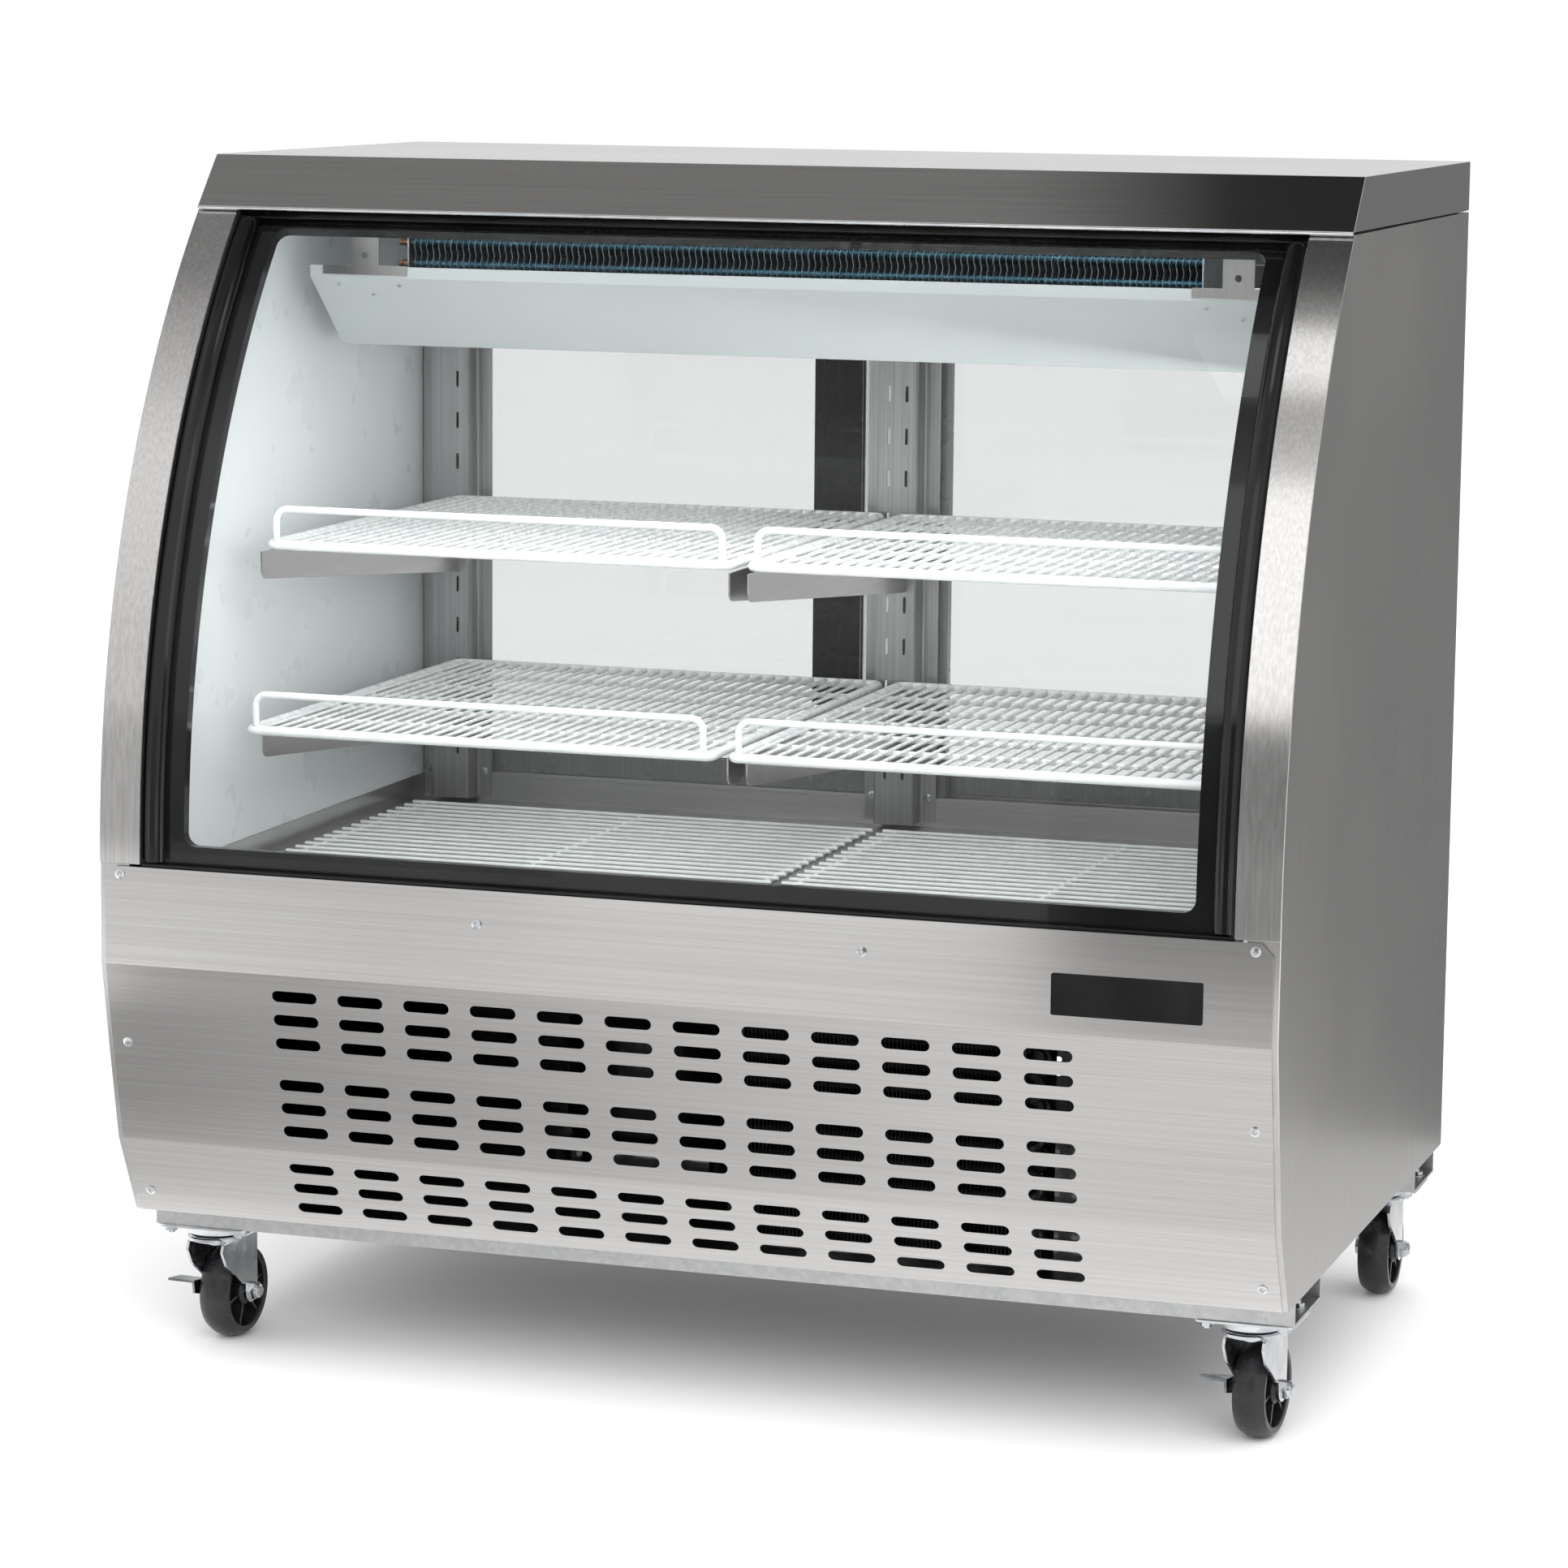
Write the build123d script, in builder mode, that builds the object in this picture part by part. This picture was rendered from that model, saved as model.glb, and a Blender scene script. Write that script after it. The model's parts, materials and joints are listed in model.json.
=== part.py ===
from build123d import *
import math
import os

os.makedirs("parts", exist_ok=True)

# ---------------------------------------------------------------- driving dimensions, mm
# X runs along the case, -Y is the customer side, +Z is up and the floor is Z = 0.
WIDTH = 1200.0
DEPTH = 836.0
HEIGHT = 1220.0
HALF_W = WIDTH / 2
REAR_Y = DEPTH / 2
HEAD = 2.0                       # how far a screw head stands proud
FACE_Y = HEAD - REAR_Y           # outer face of the front panel
SHEET = 1.5                      # outer steel sheet
LINER = 1.2                      # inner sheet
WALL = 32.0                      # insulated side wall
PILLAR = 44.0                    # curved steel return beside the glass
INNER_W = HALF_W - WALL          # inner face of a side wall
LINED_W = INNER_W - LINER
CLEARANCE = 1.0                  # between a piece and the opening it drops into
THROUGH = 3 * SHEET              # reach of a cut that has to pass through a sheet

RAIL_Z = 132.0                   # underside of the base rails
BASE_Z = 157.0                   # underside of the cabinet
CAP_Z = 1167.0                   # underside of the top cap
FLOOR_Z = 483.0                  # display floor, top of the tub sheet
FLOOR_FOAM_Z = 440.0
FLOOR_FOAM_Y = (-410.0, 350.0)
ROOF_FOAM_X = 590.0
ROOF_FOAM_Y = (-110.0, 410.0)
ROOF_LINER_Y = (-120.0, 410.0)
FOAM_GAP = 0.5                   # between the foam and the sheet round it
TUB_RIM_Z = 511.0
TUB_X = LINED_W - 0.8
TUB_Y = (-374.0, 351.8)
ROOF_Z = CAP_Z - LINER           # underside of the roof liner
CAP_NOSE = (-174.0, 1165.0)      # lower front edge of the cap, (y, z)
CAP_CREST_Y = -124.0             # where the sloped fascia meets the flat top
CAP_HEM_Y = -172.0

# the curved front is part of one circle, seen from the side
ARC_Y = 537.0
ARC_Z = 527.0
ARC_R = 951.5                    # face of the steel pillars
TOP_ANGLE = math.degrees(math.asin((CAP_Z - ARC_Z) / ARC_R))
GLASS_R = ARC_R - 10.0           # outer face of the outer pane
PANE = 5.0
PANE_GAP = 12.0
INNER_PANE_R = GLASS_R - PANE - PANE_GAP
GLASS_BACK_R = INNER_PANE_R - PANE
PILLAR_BACK_R = GLASS_BACK_R - 4.5
LINER_FRONT_R = GLASS_BACK_R - 6.5
GLASS_LOW = -0.7                 # degrees about the arc centre
GLASS_HIGH = 42.3
GLASS_X = 545.0
BORDER_X = 515.0                 # edge of the clear window
WINDOW_LOW = math.degrees(math.asin((546.0 - ARC_Z) / GLASS_R))
WINDOW_HIGH = math.degrees(math.asin((1151.0 - ARC_Z) / GLASS_R))
SEAL_X = (533.0, HALF_W - PILLAR)
SEAL_R = (ARC_R - 2.0, GLASS_BACK_R - 2.5)
SEAL_ANGLES = (0.2, GLASS_HIGH - 0.5)
CHANNEL_X = SEAL_X[1] - 0.2      # half length of the bars that hold the glass
CHANNEL_Y = (-412.0, -376.0)
CHANNEL_TOP_Z = 528.0
CHANNEL_WALL = 3.5
CHANNEL_ANGLES = (GLASS_HIGH - 0.4, GLASS_HIGH + 1.3)
GLASS_SEAT = 1.0                 # degrees of glass that a bar takes in

# the flat facets below the glass, as (setback from the face, height)
PANEL_TOP_Z = 525.0
FACETS = [(0.0, 426.0), (16.5, 333.0), (35.0, 240.0), (75.0, BASE_Z)]
PANEL_X = 594.0
PANEL_CORNER = 12.0
SLOT = (48.0, 11.5)
SLOT_COLUMNS = 12
SLOT_ROWS = 3
SLOT_PITCH = (70.0, 25.0)
SLOT_SHIFT = -6.0
FRONT_SCREWS = [(577.0, 517.0), (196.0, 491.0), (577.0, 344.0), (577.0, 181.0)]
SCREW_HEAD_R = 5.0
SCREW_R = 2.4
REAR_SCREW_X = (-555.0, -196.0, 196.0, 555.0)
REAR_SCREW_Z = (170.0, 450.0)
BADGE = (382.0, 528.0, 444.0, 484.0)
BADGE_T = 1.6
BADGE_CORNER = 2.0
BASE_PAN_Y = (-337.0, REAR_Y - 4.0)
BASE_PAN_T = 2.0

REAR_FRAME_Y = (352.0, 408.0)
HEADER_Z = 1108.0
SILL_Z = (462.0, 516.0)
JAMB_X = 556.0
TRACK_DEPTH = 8.0
TRACK_W = 16.0
DOOR_T = 14.0
DOOR_W = 604.0
DOOR_Z = (SILL_Z[1] - TRACK_DEPTH + 1.0, HEADER_Z + TRACK_DEPTH)
DOOR_STILE = 55.0
DOOR_RAIL = 34.0
DOORS = {"left": (-556.0, 370.0), "right": (-115.0, 394.0)}
DOOR_GLASS_T = 6.0
DOOR_REBATE = 8.0                # how far the glass reaches into the frame
PULL = (22.0, 130.0, 5.0)        # width, height and depth of the recessed pull
PULL_CORNER = 6.0
PULL_Z = 810.0

PANEL_REAR_Y = REAR_Y - 3.0
REAR_PANEL_Z = (BASE_Z + 2.5, 460.0)
LOUVRE = (56.0, 6.0)
LOUVRE_GRID = (70.0, 16.0, 4, 8)
LOUVRE_SPOTS = ((-270.0, 260.0), (110.0, 260.0))
CUT_Y = (400.0, 420.0)           # clears the rear panel with room to spare

# what is set into the rear panel, as (x, z) of its middle and half sizes of its parts
CONTROL = (330.0, 384.0)
CONTROL_BODY = (35.0, 14.0)
CONTROL_BEZEL = (40.0, 19.0)
CONTROL_FRONT_Y = 360.0
BEZEL_Y = REAR_Y - 1.5
BUTTON_XS = {"button_set": 14.0, "button_up": 22.0, "button_down": 30.0}
BUTTON_DROP = 6.0
BUTTON_R = 2.6
BUTTON_L = 4.3
BUTTON_ROOT = 3.0                # how deep a button starts behind the bezel
BUTTON_GAP = 0.3
SWITCH = (230.0, 384.0)
SWITCH_BODY = (9.5, 13.5)
SWITCH_BEZEL = (13.0, 17.0)
SWITCH_WELL = (7.5, 11.5)
SWITCH_Y = (398.0, 402.0)        # front of the body and floor of its well
ROCKER_Y = 409.0
ROCKER_TILT = -6.0
ROCKER_X = 7.0
ROCKER_SHAPE = [(-5.0, -9.5), (6.5, -9.5), (4.5, 0.0), (6.5, 9.5), (-5.0, 9.5)]
ROCKER_PIN = (1.2, 8.6)          # radius and half length
INLET = (-470.0, 210.0)
INLET_BODY = (12.5, 11.5)
INLET_BEZEL = (24.0, 15.0)
INLET_WELL = (11.0, 9.0)
INLET_Y = (394.0, 398.0)
INLET_BEZEL_T = 1.8
INLET_PINS = (-6.0, 0.0, 6.0)
INLET_PIN = (1.0, 3.0)
INLET_PIN_END_Y = 412.0

SLOT_GRID = 46.0                 # shelf post slot pitch
SLOT_FIRST_Z = 547.0
SLOT_COUNT = 13
HOOK_SLOT = (18.0, 3.0)
POST_FACE_Y = 324.0
POST_BACK_Y = 350.0
POST_Z = (488.0, 1160.0)
POST_HALF = 23.0
POST_FLANGE = 18.0
HOOK_LINES = [-514.0, -10.0, 10.0, 514.0]
POST_CENTRES = [-523.5, 0.0, 523.5]

BRACKET_T = 2.0
BRACKET_FRONT_Y = -210.0
BRACKET_FRONT_H = 28.0
BRACKET_REAR_H = 76.0
BRACKET_TOE = 12.0
HOOK_Z = (-5.5, -51.5)           # underside of each tang, from the bracket's top
HOOK_SIZE = (6.0, 5.0)
SHELF_TIERS = {"upper": (821.0, -201.0), "lower": (637.0, -255.0)}
SHELF_SIDES = {"left": (-515.0, -10.0), "right": (3.0, 515.0)}
SHELF_REAR_Y = 321.0
SHELF_SEAT = 1.0                 # of a shelf over its brackets
SHELF_CORNER = 8.0
CROSS_WIRES = 5
WELD = 1.0                       # how far crossing wires sink into each other
FRAME_WIRE_R = 5.0
CROSS_WIRE_R = 3.0
WIRE_R = 2.0
SHELF_WIRE_PITCH = 15.0
GUARD_R = 3.5
GUARD_TOP = 37.0                 # rise of the guard's centre line over the front wire
GUARD_INSET = 12.0
GUARD_BEND = 12.0
RACK_WIRE_PITCH = 25.0
RACK_SIDES = {"left": (-545.0, -6.0), "right": (6.0, 545.0)}
RACK_Y = (-360.0, 272.0)
RACK_CROSS_WIRES = 3
RACK_END = 12.0                  # from a rack's end to its outer cross wires

COIL_X = 426.0
COIL_Y = (-36.0, 120.0)
COIL_Z = (1096.0, 1164.0)
COIL_TUBE_R = 3.5
COIL_GRID = (24.0, 22.0)
COIL_FIRST = (18.0, 11.0)        # first tube, from the coil's front and bottom
COIL_ROWS = 3
COIL_COLUMNS = 5
BEND_OUT = 14.0                  # reach of the return bends past the coil's end
PAN_X = 525.0
PAN_LINE = [(-57.0, 1105.0), (-57.0, 1093.0), (28.0, 1018.0), (236.0, 1018.0), (236.0, 1060.0)]
PAN_HOLLOW = [(-55.5, 1106.0), (-55.5, 1093.7), (28.6, 1019.5), (234.5, 1019.5), (234.5, 1061.0)]
HANGER_X = 463.0
HANGER_Y = (-59.0, -57.0)
HANGER_Z = (1096.0, 1106.0)
HANGER_HALF = 16.0
HANGER_FOOT = 47.0
HANGER_HOLE = (1116.0, 3.5)
HANGER_TAB_Y = -40.0
HANGER_T = 2.0
LIGHT_CASE = ((-520.0, 520.0), (-112.0, -84.0), (1156.0, ROOF_Z))
LIGHT_TUBE = (-98.0, 1150.0, 7.0)
LIGHT_TUBE_X = 515.0

CASTER_X = 547.0
CASTER_Y = {"front": -260.0, "rear": 330.0}
CASTER_TURN = {"front_left": -4.0, "front_right": -5.0, "rear_left": 0.0, "rear_right": 0.0}
PLATE = (100.0, 80.0, 3.0)
PLATE_CORNER = 8.0
PLATE_BOLTS = (76.0, 56.0)
BOLT_R = 4.0
BOLT_HOLE_R = 4.2
BOLT_FLAT = 6.5                  # centre of a hexagon to its flat
BOLT_HEAD = 5.0
BOLT_NUT = 6.0
WHEEL_R = 50.0
WHEEL_W = 33.0
TRAIL = 36.0
TREAD_ROUND = 7.0
DISH_R = (15.0, 38.0)            # hub and rim edges of the recess in each wheel face
DISH_DEPTH = 12.0
SPOKES = 6
SPOKE_W = 3.5
HUB_R = 13.0
AXLE_R = 5.0
AXLE_FLAT = 8.5
AXLE_HEAD = 5.0
AXLE_NUT = 7.0
AXLE_END = 10.0                  # of the bolt past the outer leg
RUN_FIT = 0.05                   # radial running clearance
SLIP_FIT = 0.02
CROWN_Z = (112.0, 117.0)
CROWN_R = 35.0
CROWN_GAP = 1.0
RACE_R = 31.0
KINGPIN_R = 6.0
KINGPIN_HEAD_R = 10.0
KINGPIN_HEAD = 6.0
LEG_X = 18.5
LEG_T = 3.0
LEG_Y = (-26.0, 48.0)
LEG_ROUND = 12.0
LEG_WAIST = (6.0, 84.0)          # where the swept front edge turns, (y, z)
LEG_SHOULDER = 16.0
SIDE_GAP = 0.3                   # between a wheel's hub and the fork
BRAKED = ("front_left", "front_right")
BRAKE_T = 2.5
BRAKE_GAP = 0.2
BRAKE_EYE_R = 13.0
BRAKE_ARM = [(-12.0, -6.0), (-44.0, 2.0), (-46.0, 16.0), (-8.0, 12.0)]
BRAKE_PEDAL = [(-46.0, 16.0), (-20.0, 13.2), (-20.0, 10.7), (-46.0, 13.5)]
BRAKE_REACH = 52.0

RAIL_T = 2.5
RAIL_X = 597.0
RAILS = {"front": (-298.0, -183.0), "rear": (288.0, 392.0)}

CONDENSER_X = (40.0, 340.0)
CONDENSER_Y = (-322.0, -278.0)
CONDENSER_Z = (174.0, 404.0)
CONDENSER_END = (8.0, 2.0)       # inset and thickness of an end plate
SHROUD_Y = (CONDENSER_Y[1], CONDENSER_Y[1] + 46.0)
FAN_X = sum(CONDENSER_X) / 2
FAN_Z = sum(CONDENSER_Z) / 2
FAN_Y = (-270.0, -246.0)
FAN_R = 98.0
FAN_RING_R = 104.0
FAN_HUB_R = 24.0
FAN_ROOT_R = 20.0
BLADES = 5
BLADE = (70.0, 2.4, 16.0)        # chord, thickness and pitch in degrees
FAN_BORE = 14.0
SHAFT_R = 4.0
SHAFT_L = 26.0
MOTOR_R = 36.0
MOTOR_L = 60.0
STRAP_Z = 8.0
STRAP_T = 3.0
STRAP_L = 50.0
STRAP_X = (MOTOR_R - 4.0, MOTOR_R + 2.0, FAN_R + 18.0)
COMPRESSOR = (-180.0, 60.0)
COMPRESSOR_SHELL = (96.0, 76.0, 150.0)
COMPRESSOR_ROUNDS = (38.0, 16.0)
COMPRESSOR_FOOT = (210.0, 130.0, 12.0, 4.0)
COMPRESSOR_PADS = (180.0, 100.0, 12.0, 20.0)
TERMINAL_X = COMPRESSOR[0] + 84.0
TERMINAL_BOX = (40.0, 28.0, (60.0, 120.0))

# refrigerant lines: points, tube radius and bend radius
LINES = [
    ([(-150, 60, 331), (-150, 60, 372), (20, 60, 372), (20, -300, 372), (45, -300, 372)], 4.0, 18.0),
    ([(45, -300, 210), (4, -300, 210), (4, -150, 210), (4, -150, 300)], 4.0, 18.0),
    ([(-215, 60, 331), (-215, 60, 400), (-215, 300, 400)], 5.0, 20.0),
]
RECEIVER = (4.0, -150.0, 350.0, 11.0, 100.0)


# ---------------------------------------------------------------- shared building steps
def write(piece, label):
    """Label one finished sub-part and write its STEP file."""
    piece.part.label = label
    export_step(piece.part, f"parts/{label}.step")


def slab(x, y, z, mode=Mode.ADD):
    """Box between two limits along each axis, in the part being built."""
    centre = [(low + high) / 2 for low, high in (x, y, z)]
    with Locations(tuple(centre)):
        Box(x[1] - x[0], y[1] - y[0], z[1] - z[0], mode=mode)


def panel(middle, half, y, mode=Mode.ADD):
    """Box set into the rear, from its middle (x, z), half sizes and limits along y."""
    (x, z), (half_x, half_z) = middle, half
    slab((x - half_x, x + half_x), y, (z - half_z, z + half_z), mode)


def both_ways(low, high, sign):
    """Limits on one side of the middle, in rising order."""
    return sorted((sign * low, sign * high))


def outline(points):
    """Closed straight-sided face, in the sketch being built."""
    with BuildLine() as path:
        Polyline(*points, close=True)
    make_face(path.edges())


def arc_band(outer, inner, low, high):
    """Face between two radii of the front circle, from the low to the high angle."""
    with BuildLine() as path:
        front = CenterArc((ARC_Y, ARC_Z), outer, 180 - high, high - low)
        back = CenterArc((ARC_Y, ARC_Z), inner, 180 - high, high - low)
        Line(front @ 0, back @ 0)
        Line(front @ 1, back @ 1)
    make_face(path.edges())


def front_line(gap):
    """The facets from the panel's top down to the base, gap behind the outer face."""
    return [(FACE_Y + gap + back, height) for back, height in FACETS]


def side_outline():
    """Side view of the cabinet below the cap, inside the front panel."""
    facets = front_line(SHEET)
    with BuildLine() as path:
        arc = CenterArc((ARC_Y, ARC_Z), ARC_R, 180 - TOP_ANGLE, TOP_ANGLE)
        Polyline(arc @ 1, *facets, (REAR_Y, BASE_Z), (REAR_Y, CAP_Z), arc @ 0)
    make_face(path.edges())


def facet_plane(lower, upper):
    """Plane on one facet: x along the case, z outward, origin at the facet's middle."""
    (y0, z0), (y1, z1) = lower, upper
    return Plane(
        origin=(0, (y0 + y1) / 2, (z0 + z1) / 2), x_dir=(1, 0, 0), z_dir=(0, z0 - z1, y1 - y0)
    )


def front_screw_spots():
    """Centre and outward direction of each front panel screw, on the panel's face."""
    line = [(FACE_Y, PANEL_TOP_Z)] + front_line(0)
    spots = []
    for x, height in FRONT_SCREWS:
        for (y1, z1), (y0, z0) in zip(line, line[1:]):
            if z0 <= height <= z1:
                y = y0 + (y1 - y0) * (height - z0) / (z1 - z0)
                outward = (0, z0 - z1, y1 - y0)
                for side in (-1, 1):
                    spots.append(Plane((side * x, y, height), x_dir=(1, 0, 0), z_dir=outward))
    return spots


def rear_screw_spots():
    """Centre and outward direction of each rear panel screw, on the panel's face."""
    return [
        Plane((x, PANEL_REAR_Y, z), x_dir=(-1, 0, 0), z_dir=(0, 1, 0))
        for x in REAR_SCREW_X
        for z in REAR_SCREW_Z
    ]


# ---------------------------------------------------------------- insulated side walls
for side, sign in (("left", -1), ("right", 1)):
    with BuildPart() as side_panel:
        with BuildSketch(Plane.YZ.offset(sign * INNER_W)):
            side_outline()
        extrude(amount=sign * WALL)
        with BuildSketch(Plane.YZ.offset(sign * INNER_W)):
            side_outline()
            offset(amount=-SHEET, kind=Kind.INTERSECTION)
        extrude(amount=sign * (WALL - SHEET), mode=Mode.SUBTRACT)
        with BuildSketch(Plane.YZ.offset(sign * SEAL_X[1])):
            arc_band(ARC_R, ARC_R - SHEET, 0, TOP_ANGLE)
        extrude(amount=sign * (PILLAR - WALL))
        with BuildSketch(Plane.YZ.offset(sign * SEAL_X[1])):
            arc_band(ARC_R, PILLAR_BACK_R, 0, TOP_ANGLE)
        extrude(amount=sign * SHEET)
        for spot in front_screw_spots():
            with BuildSketch(spot):
                Circle(SCREW_R)
            extrude(amount=-THROUGH, mode=Mode.SUBTRACT)
    write(side_panel, f"side_panel_{side}")

with BuildPart() as insulation:
    for sign in (-1, 1):
        with BuildSketch(Plane.YZ.offset(sign * INNER_W)):
            side_outline()
            offset(amount=-SHEET - FOAM_GAP, kind=Kind.INTERSECTION)
        extrude(amount=sign * (WALL - SHEET))
    floor_x = INNER_W - 2 * CLEARANCE
    slab((-floor_x, floor_x), FLOOR_FOAM_Y, (FLOOR_FOAM_Z, FLOOR_Z - LINER))
    slab((-ROOF_FOAM_X, ROOF_FOAM_X), ROOF_FOAM_Y, (CAP_Z, HEIGHT - 4 * CLEARANCE))
write(insulation, "insulation")

with BuildPart() as inner_liner:
    low = math.degrees(math.asin((FLOOR_Z - ARC_Z) / LINER_FRONT_R))
    high = math.degrees(math.asin((ROOF_Z - ARC_Z) / LINER_FRONT_R))
    for sign in (-1, 1):
        with BuildSketch(Plane.YZ.offset(sign * LINED_W)):
            with BuildLine() as liner_edge:
                arc = CenterArc((ARC_Y, ARC_Z), LINER_FRONT_R, 180 - high, high - low)
                Polyline(arc @ 1, (REAR_FRAME_Y[0], FLOOR_Z), (REAR_FRAME_Y[0], ROOF_Z), arc @ 0)
            make_face()
        extrude(amount=sign * LINER)
    slab((-LINED_W, LINED_W), ROOF_LINER_Y, (ROOF_Z, CAP_Z))
write(inner_liner, "inner_liner")

# ---------------------------------------------------------------- curved double glass
with BuildPart() as front_glass_outer:
    with BuildSketch(Plane.YZ):
        arc_band(GLASS_R, GLASS_R - PANE, GLASS_LOW, GLASS_HIGH)
    extrude(amount=GLASS_X, both=True)
write(front_glass_outer, "front_glass_outer")

with BuildPart() as front_glass_inner:
    with BuildSketch(Plane.YZ):
        arc_band(INNER_PANE_R, GLASS_BACK_R, GLASS_LOW, GLASS_HIGH)
    extrude(amount=GLASS_X, both=True)
write(front_glass_inner, "front_glass_inner")

with BuildPart() as glass_spacer:
    with BuildSketch(Plane.YZ):
        arc_band(GLASS_R - PANE, INNER_PANE_R, GLASS_LOW, GLASS_HIGH)
    extrude(amount=GLASS_X, both=True)
    with BuildSketch(Plane.YZ):
        arc_band(GLASS_R, GLASS_BACK_R, WINDOW_LOW, WINDOW_HIGH)
    extrude(amount=BORDER_X, both=True, mode=Mode.SUBTRACT)
write(glass_spacer, "glass_spacer")

with BuildPart() as glass_seals:
    for sign in (-1, 1):
        with BuildSketch(Plane.YZ.offset(sign * SEAL_X[0])):
            arc_band(*SEAL_R, *SEAL_ANGLES)
        extrude(amount=sign * (SEAL_X[1] - SEAL_X[0]))
        with BuildSketch(Plane.YZ.offset(sign * SEAL_X[0])):
            arc_band(GLASS_R, GLASS_BACK_R, 0, GLASS_HIGH)
        extrude(amount=sign * (GLASS_X - SEAL_X[0]), mode=Mode.SUBTRACT)
write(glass_seals, "glass_seals")

with BuildPart() as glass_channels:
    with BuildSketch(Plane.YZ):
        (front, back), low = CHANNEL_Y, FLOOR_Z - LINER
        outline([(front, low), (back, low), (back, CHANNEL_TOP_Z), (front, CHANNEL_TOP_Z)])
    extrude(amount=CHANNEL_X, both=True)
    with BuildSketch(Plane.YZ):
        arc_band(GLASS_R, GLASS_BACK_R, GLASS_LOW, GLASS_SEAT)
    extrude(amount=GLASS_X, both=True, mode=Mode.SUBTRACT)
    with BuildSketch(Plane.YZ):
        arc_band(GLASS_R + CHANNEL_WALL, GLASS_BACK_R - CHANNEL_WALL, *CHANNEL_ANGLES)
    extrude(amount=CHANNEL_X, both=True)
    with BuildSketch(Plane.YZ):
        arc_band(GLASS_R, GLASS_BACK_R, GLASS_HIGH - GLASS_SEAT, GLASS_HIGH)
    extrude(amount=GLASS_X, both=True, mode=Mode.SUBTRACT)
write(glass_channels, "glass_channels")

# ---------------------------------------------------------------- top cap
with BuildPart() as top_cap:
    with BuildSketch(Plane.YZ):
        outline([
            CAP_NOSE, (CAP_CREST_Y, HEIGHT), (REAR_Y, HEIGHT), (REAR_Y, CAP_Z), (CAP_HEM_Y, CAP_Z)
        ])
    extrude(amount=HALF_W, both=True)
    inner_y = CAP_HEM_Y + 1.7
    below = CAP_NOSE[1] - 5
    with BuildSketch(Plane.YZ):
        outline([
            (inner_y, below),
            (inner_y, CAP_Z - 0.4),
            (CAP_CREST_Y + 0.6, HEIGHT - SHEET),
            (REAR_Y - SHEET, HEIGHT - SHEET),
            (REAR_Y - SHEET, below),
        ])
    extrude(amount=HALF_W - SHEET, both=True, mode=Mode.SUBTRACT)
write(top_cap, "top_cap")

# ---------------------------------------------------------------- front panel
with BuildPart() as front_panel:
    with BuildSketch(Plane.YZ):
        face_line = [(FACE_Y, PANEL_TOP_Z)] + front_line(0)
        back_line = [(FACE_Y + SHEET, PANEL_TOP_Z)] + front_line(SHEET)
        outline(face_line + back_line[::-1])
    extrude(amount=PANEL_X, both=True)
    top_corners = front_panel.edges().filter_by(Axis.Y).group_by(Axis.Z)[-1]
    chamfer(top_corners, length=PANEL_CORNER)
    facets = front_line(0)
    for upper, lower in zip(facets, facets[1:]):
        with BuildSketch(facet_plane(lower, upper)):
            with Locations((SLOT_SHIFT, 0)):
                with GridLocations(*SLOT_PITCH, SLOT_COLUMNS, SLOT_ROWS):
                    SlotOverall(*SLOT)
        extrude(amount=-THROUGH, both=True, mode=Mode.SUBTRACT)
    for spot in front_screw_spots():
        with BuildSketch(spot):
            Circle(SCREW_R)
        extrude(amount=-THROUGH, both=True, mode=Mode.SUBTRACT)
write(front_panel, "front_panel")

with BuildPart() as case_screws:
    for spot in front_screw_spots() + rear_screw_spots():
        with BuildSketch(spot):
            Circle(SCREW_HEAD_R)
        extrude(amount=HEAD)
        with BuildSketch(spot):
            Circle(SCREW_R)
        extrude(amount=-2 * SHEET)
write(case_screws, "case_screws")

with BuildPart() as badge_plate:
    slab(BADGE[:2], (FACE_Y - BADGE_T, FACE_Y), BADGE[2:])
    fillet(badge_plate.edges().filter_by(Axis.Y), radius=BADGE_CORNER)
write(badge_plate, "badge_plate")

# ---------------------------------------------------------------- base
with BuildPart() as base_pan:
    slab((-INNER_W, INNER_W), BASE_PAN_Y, (BASE_Z, BASE_Z + BASE_PAN_T))
write(base_pan, "base_pan")

with BuildPart() as base_rails:
    for front, back in RAILS.values():
        slab((-RAIL_X, RAIL_X), (front, back), (RAIL_Z, RAIL_Z + RAIL_T))
        slab((-RAIL_X, RAIL_X), (front, front + RAIL_T), (RAIL_Z, BASE_Z))
        slab((-RAIL_X, RAIL_X), (back - RAIL_T, back), (RAIL_Z, BASE_Z))
    for y in CASTER_Y.values():
        for sign in (-1, 1):
            with BuildSketch(Plane.XY.offset(RAIL_Z)):
                with Locations((sign * CASTER_X, y)):
                    with GridLocations(*PLATE_BOLTS, 2, 2):
                        Circle(BOLT_HOLE_R)
            extrude(amount=RAIL_T, mode=Mode.SUBTRACT)
write(base_rails, "base_rails")

with BuildPart() as floor_tub:
    slab((-TUB_X, TUB_X), TUB_Y, (FLOOR_Z - LINER, TUB_RIM_Z))
    slab(
        (-TUB_X + LINER, TUB_X - LINER),
        (TUB_Y[0] + LINER, TUB_Y[1] - LINER),
        (FLOOR_Z, TUB_RIM_Z),
        mode=Mode.SUBTRACT,
    )
write(floor_tub, "floor_tub")

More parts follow.
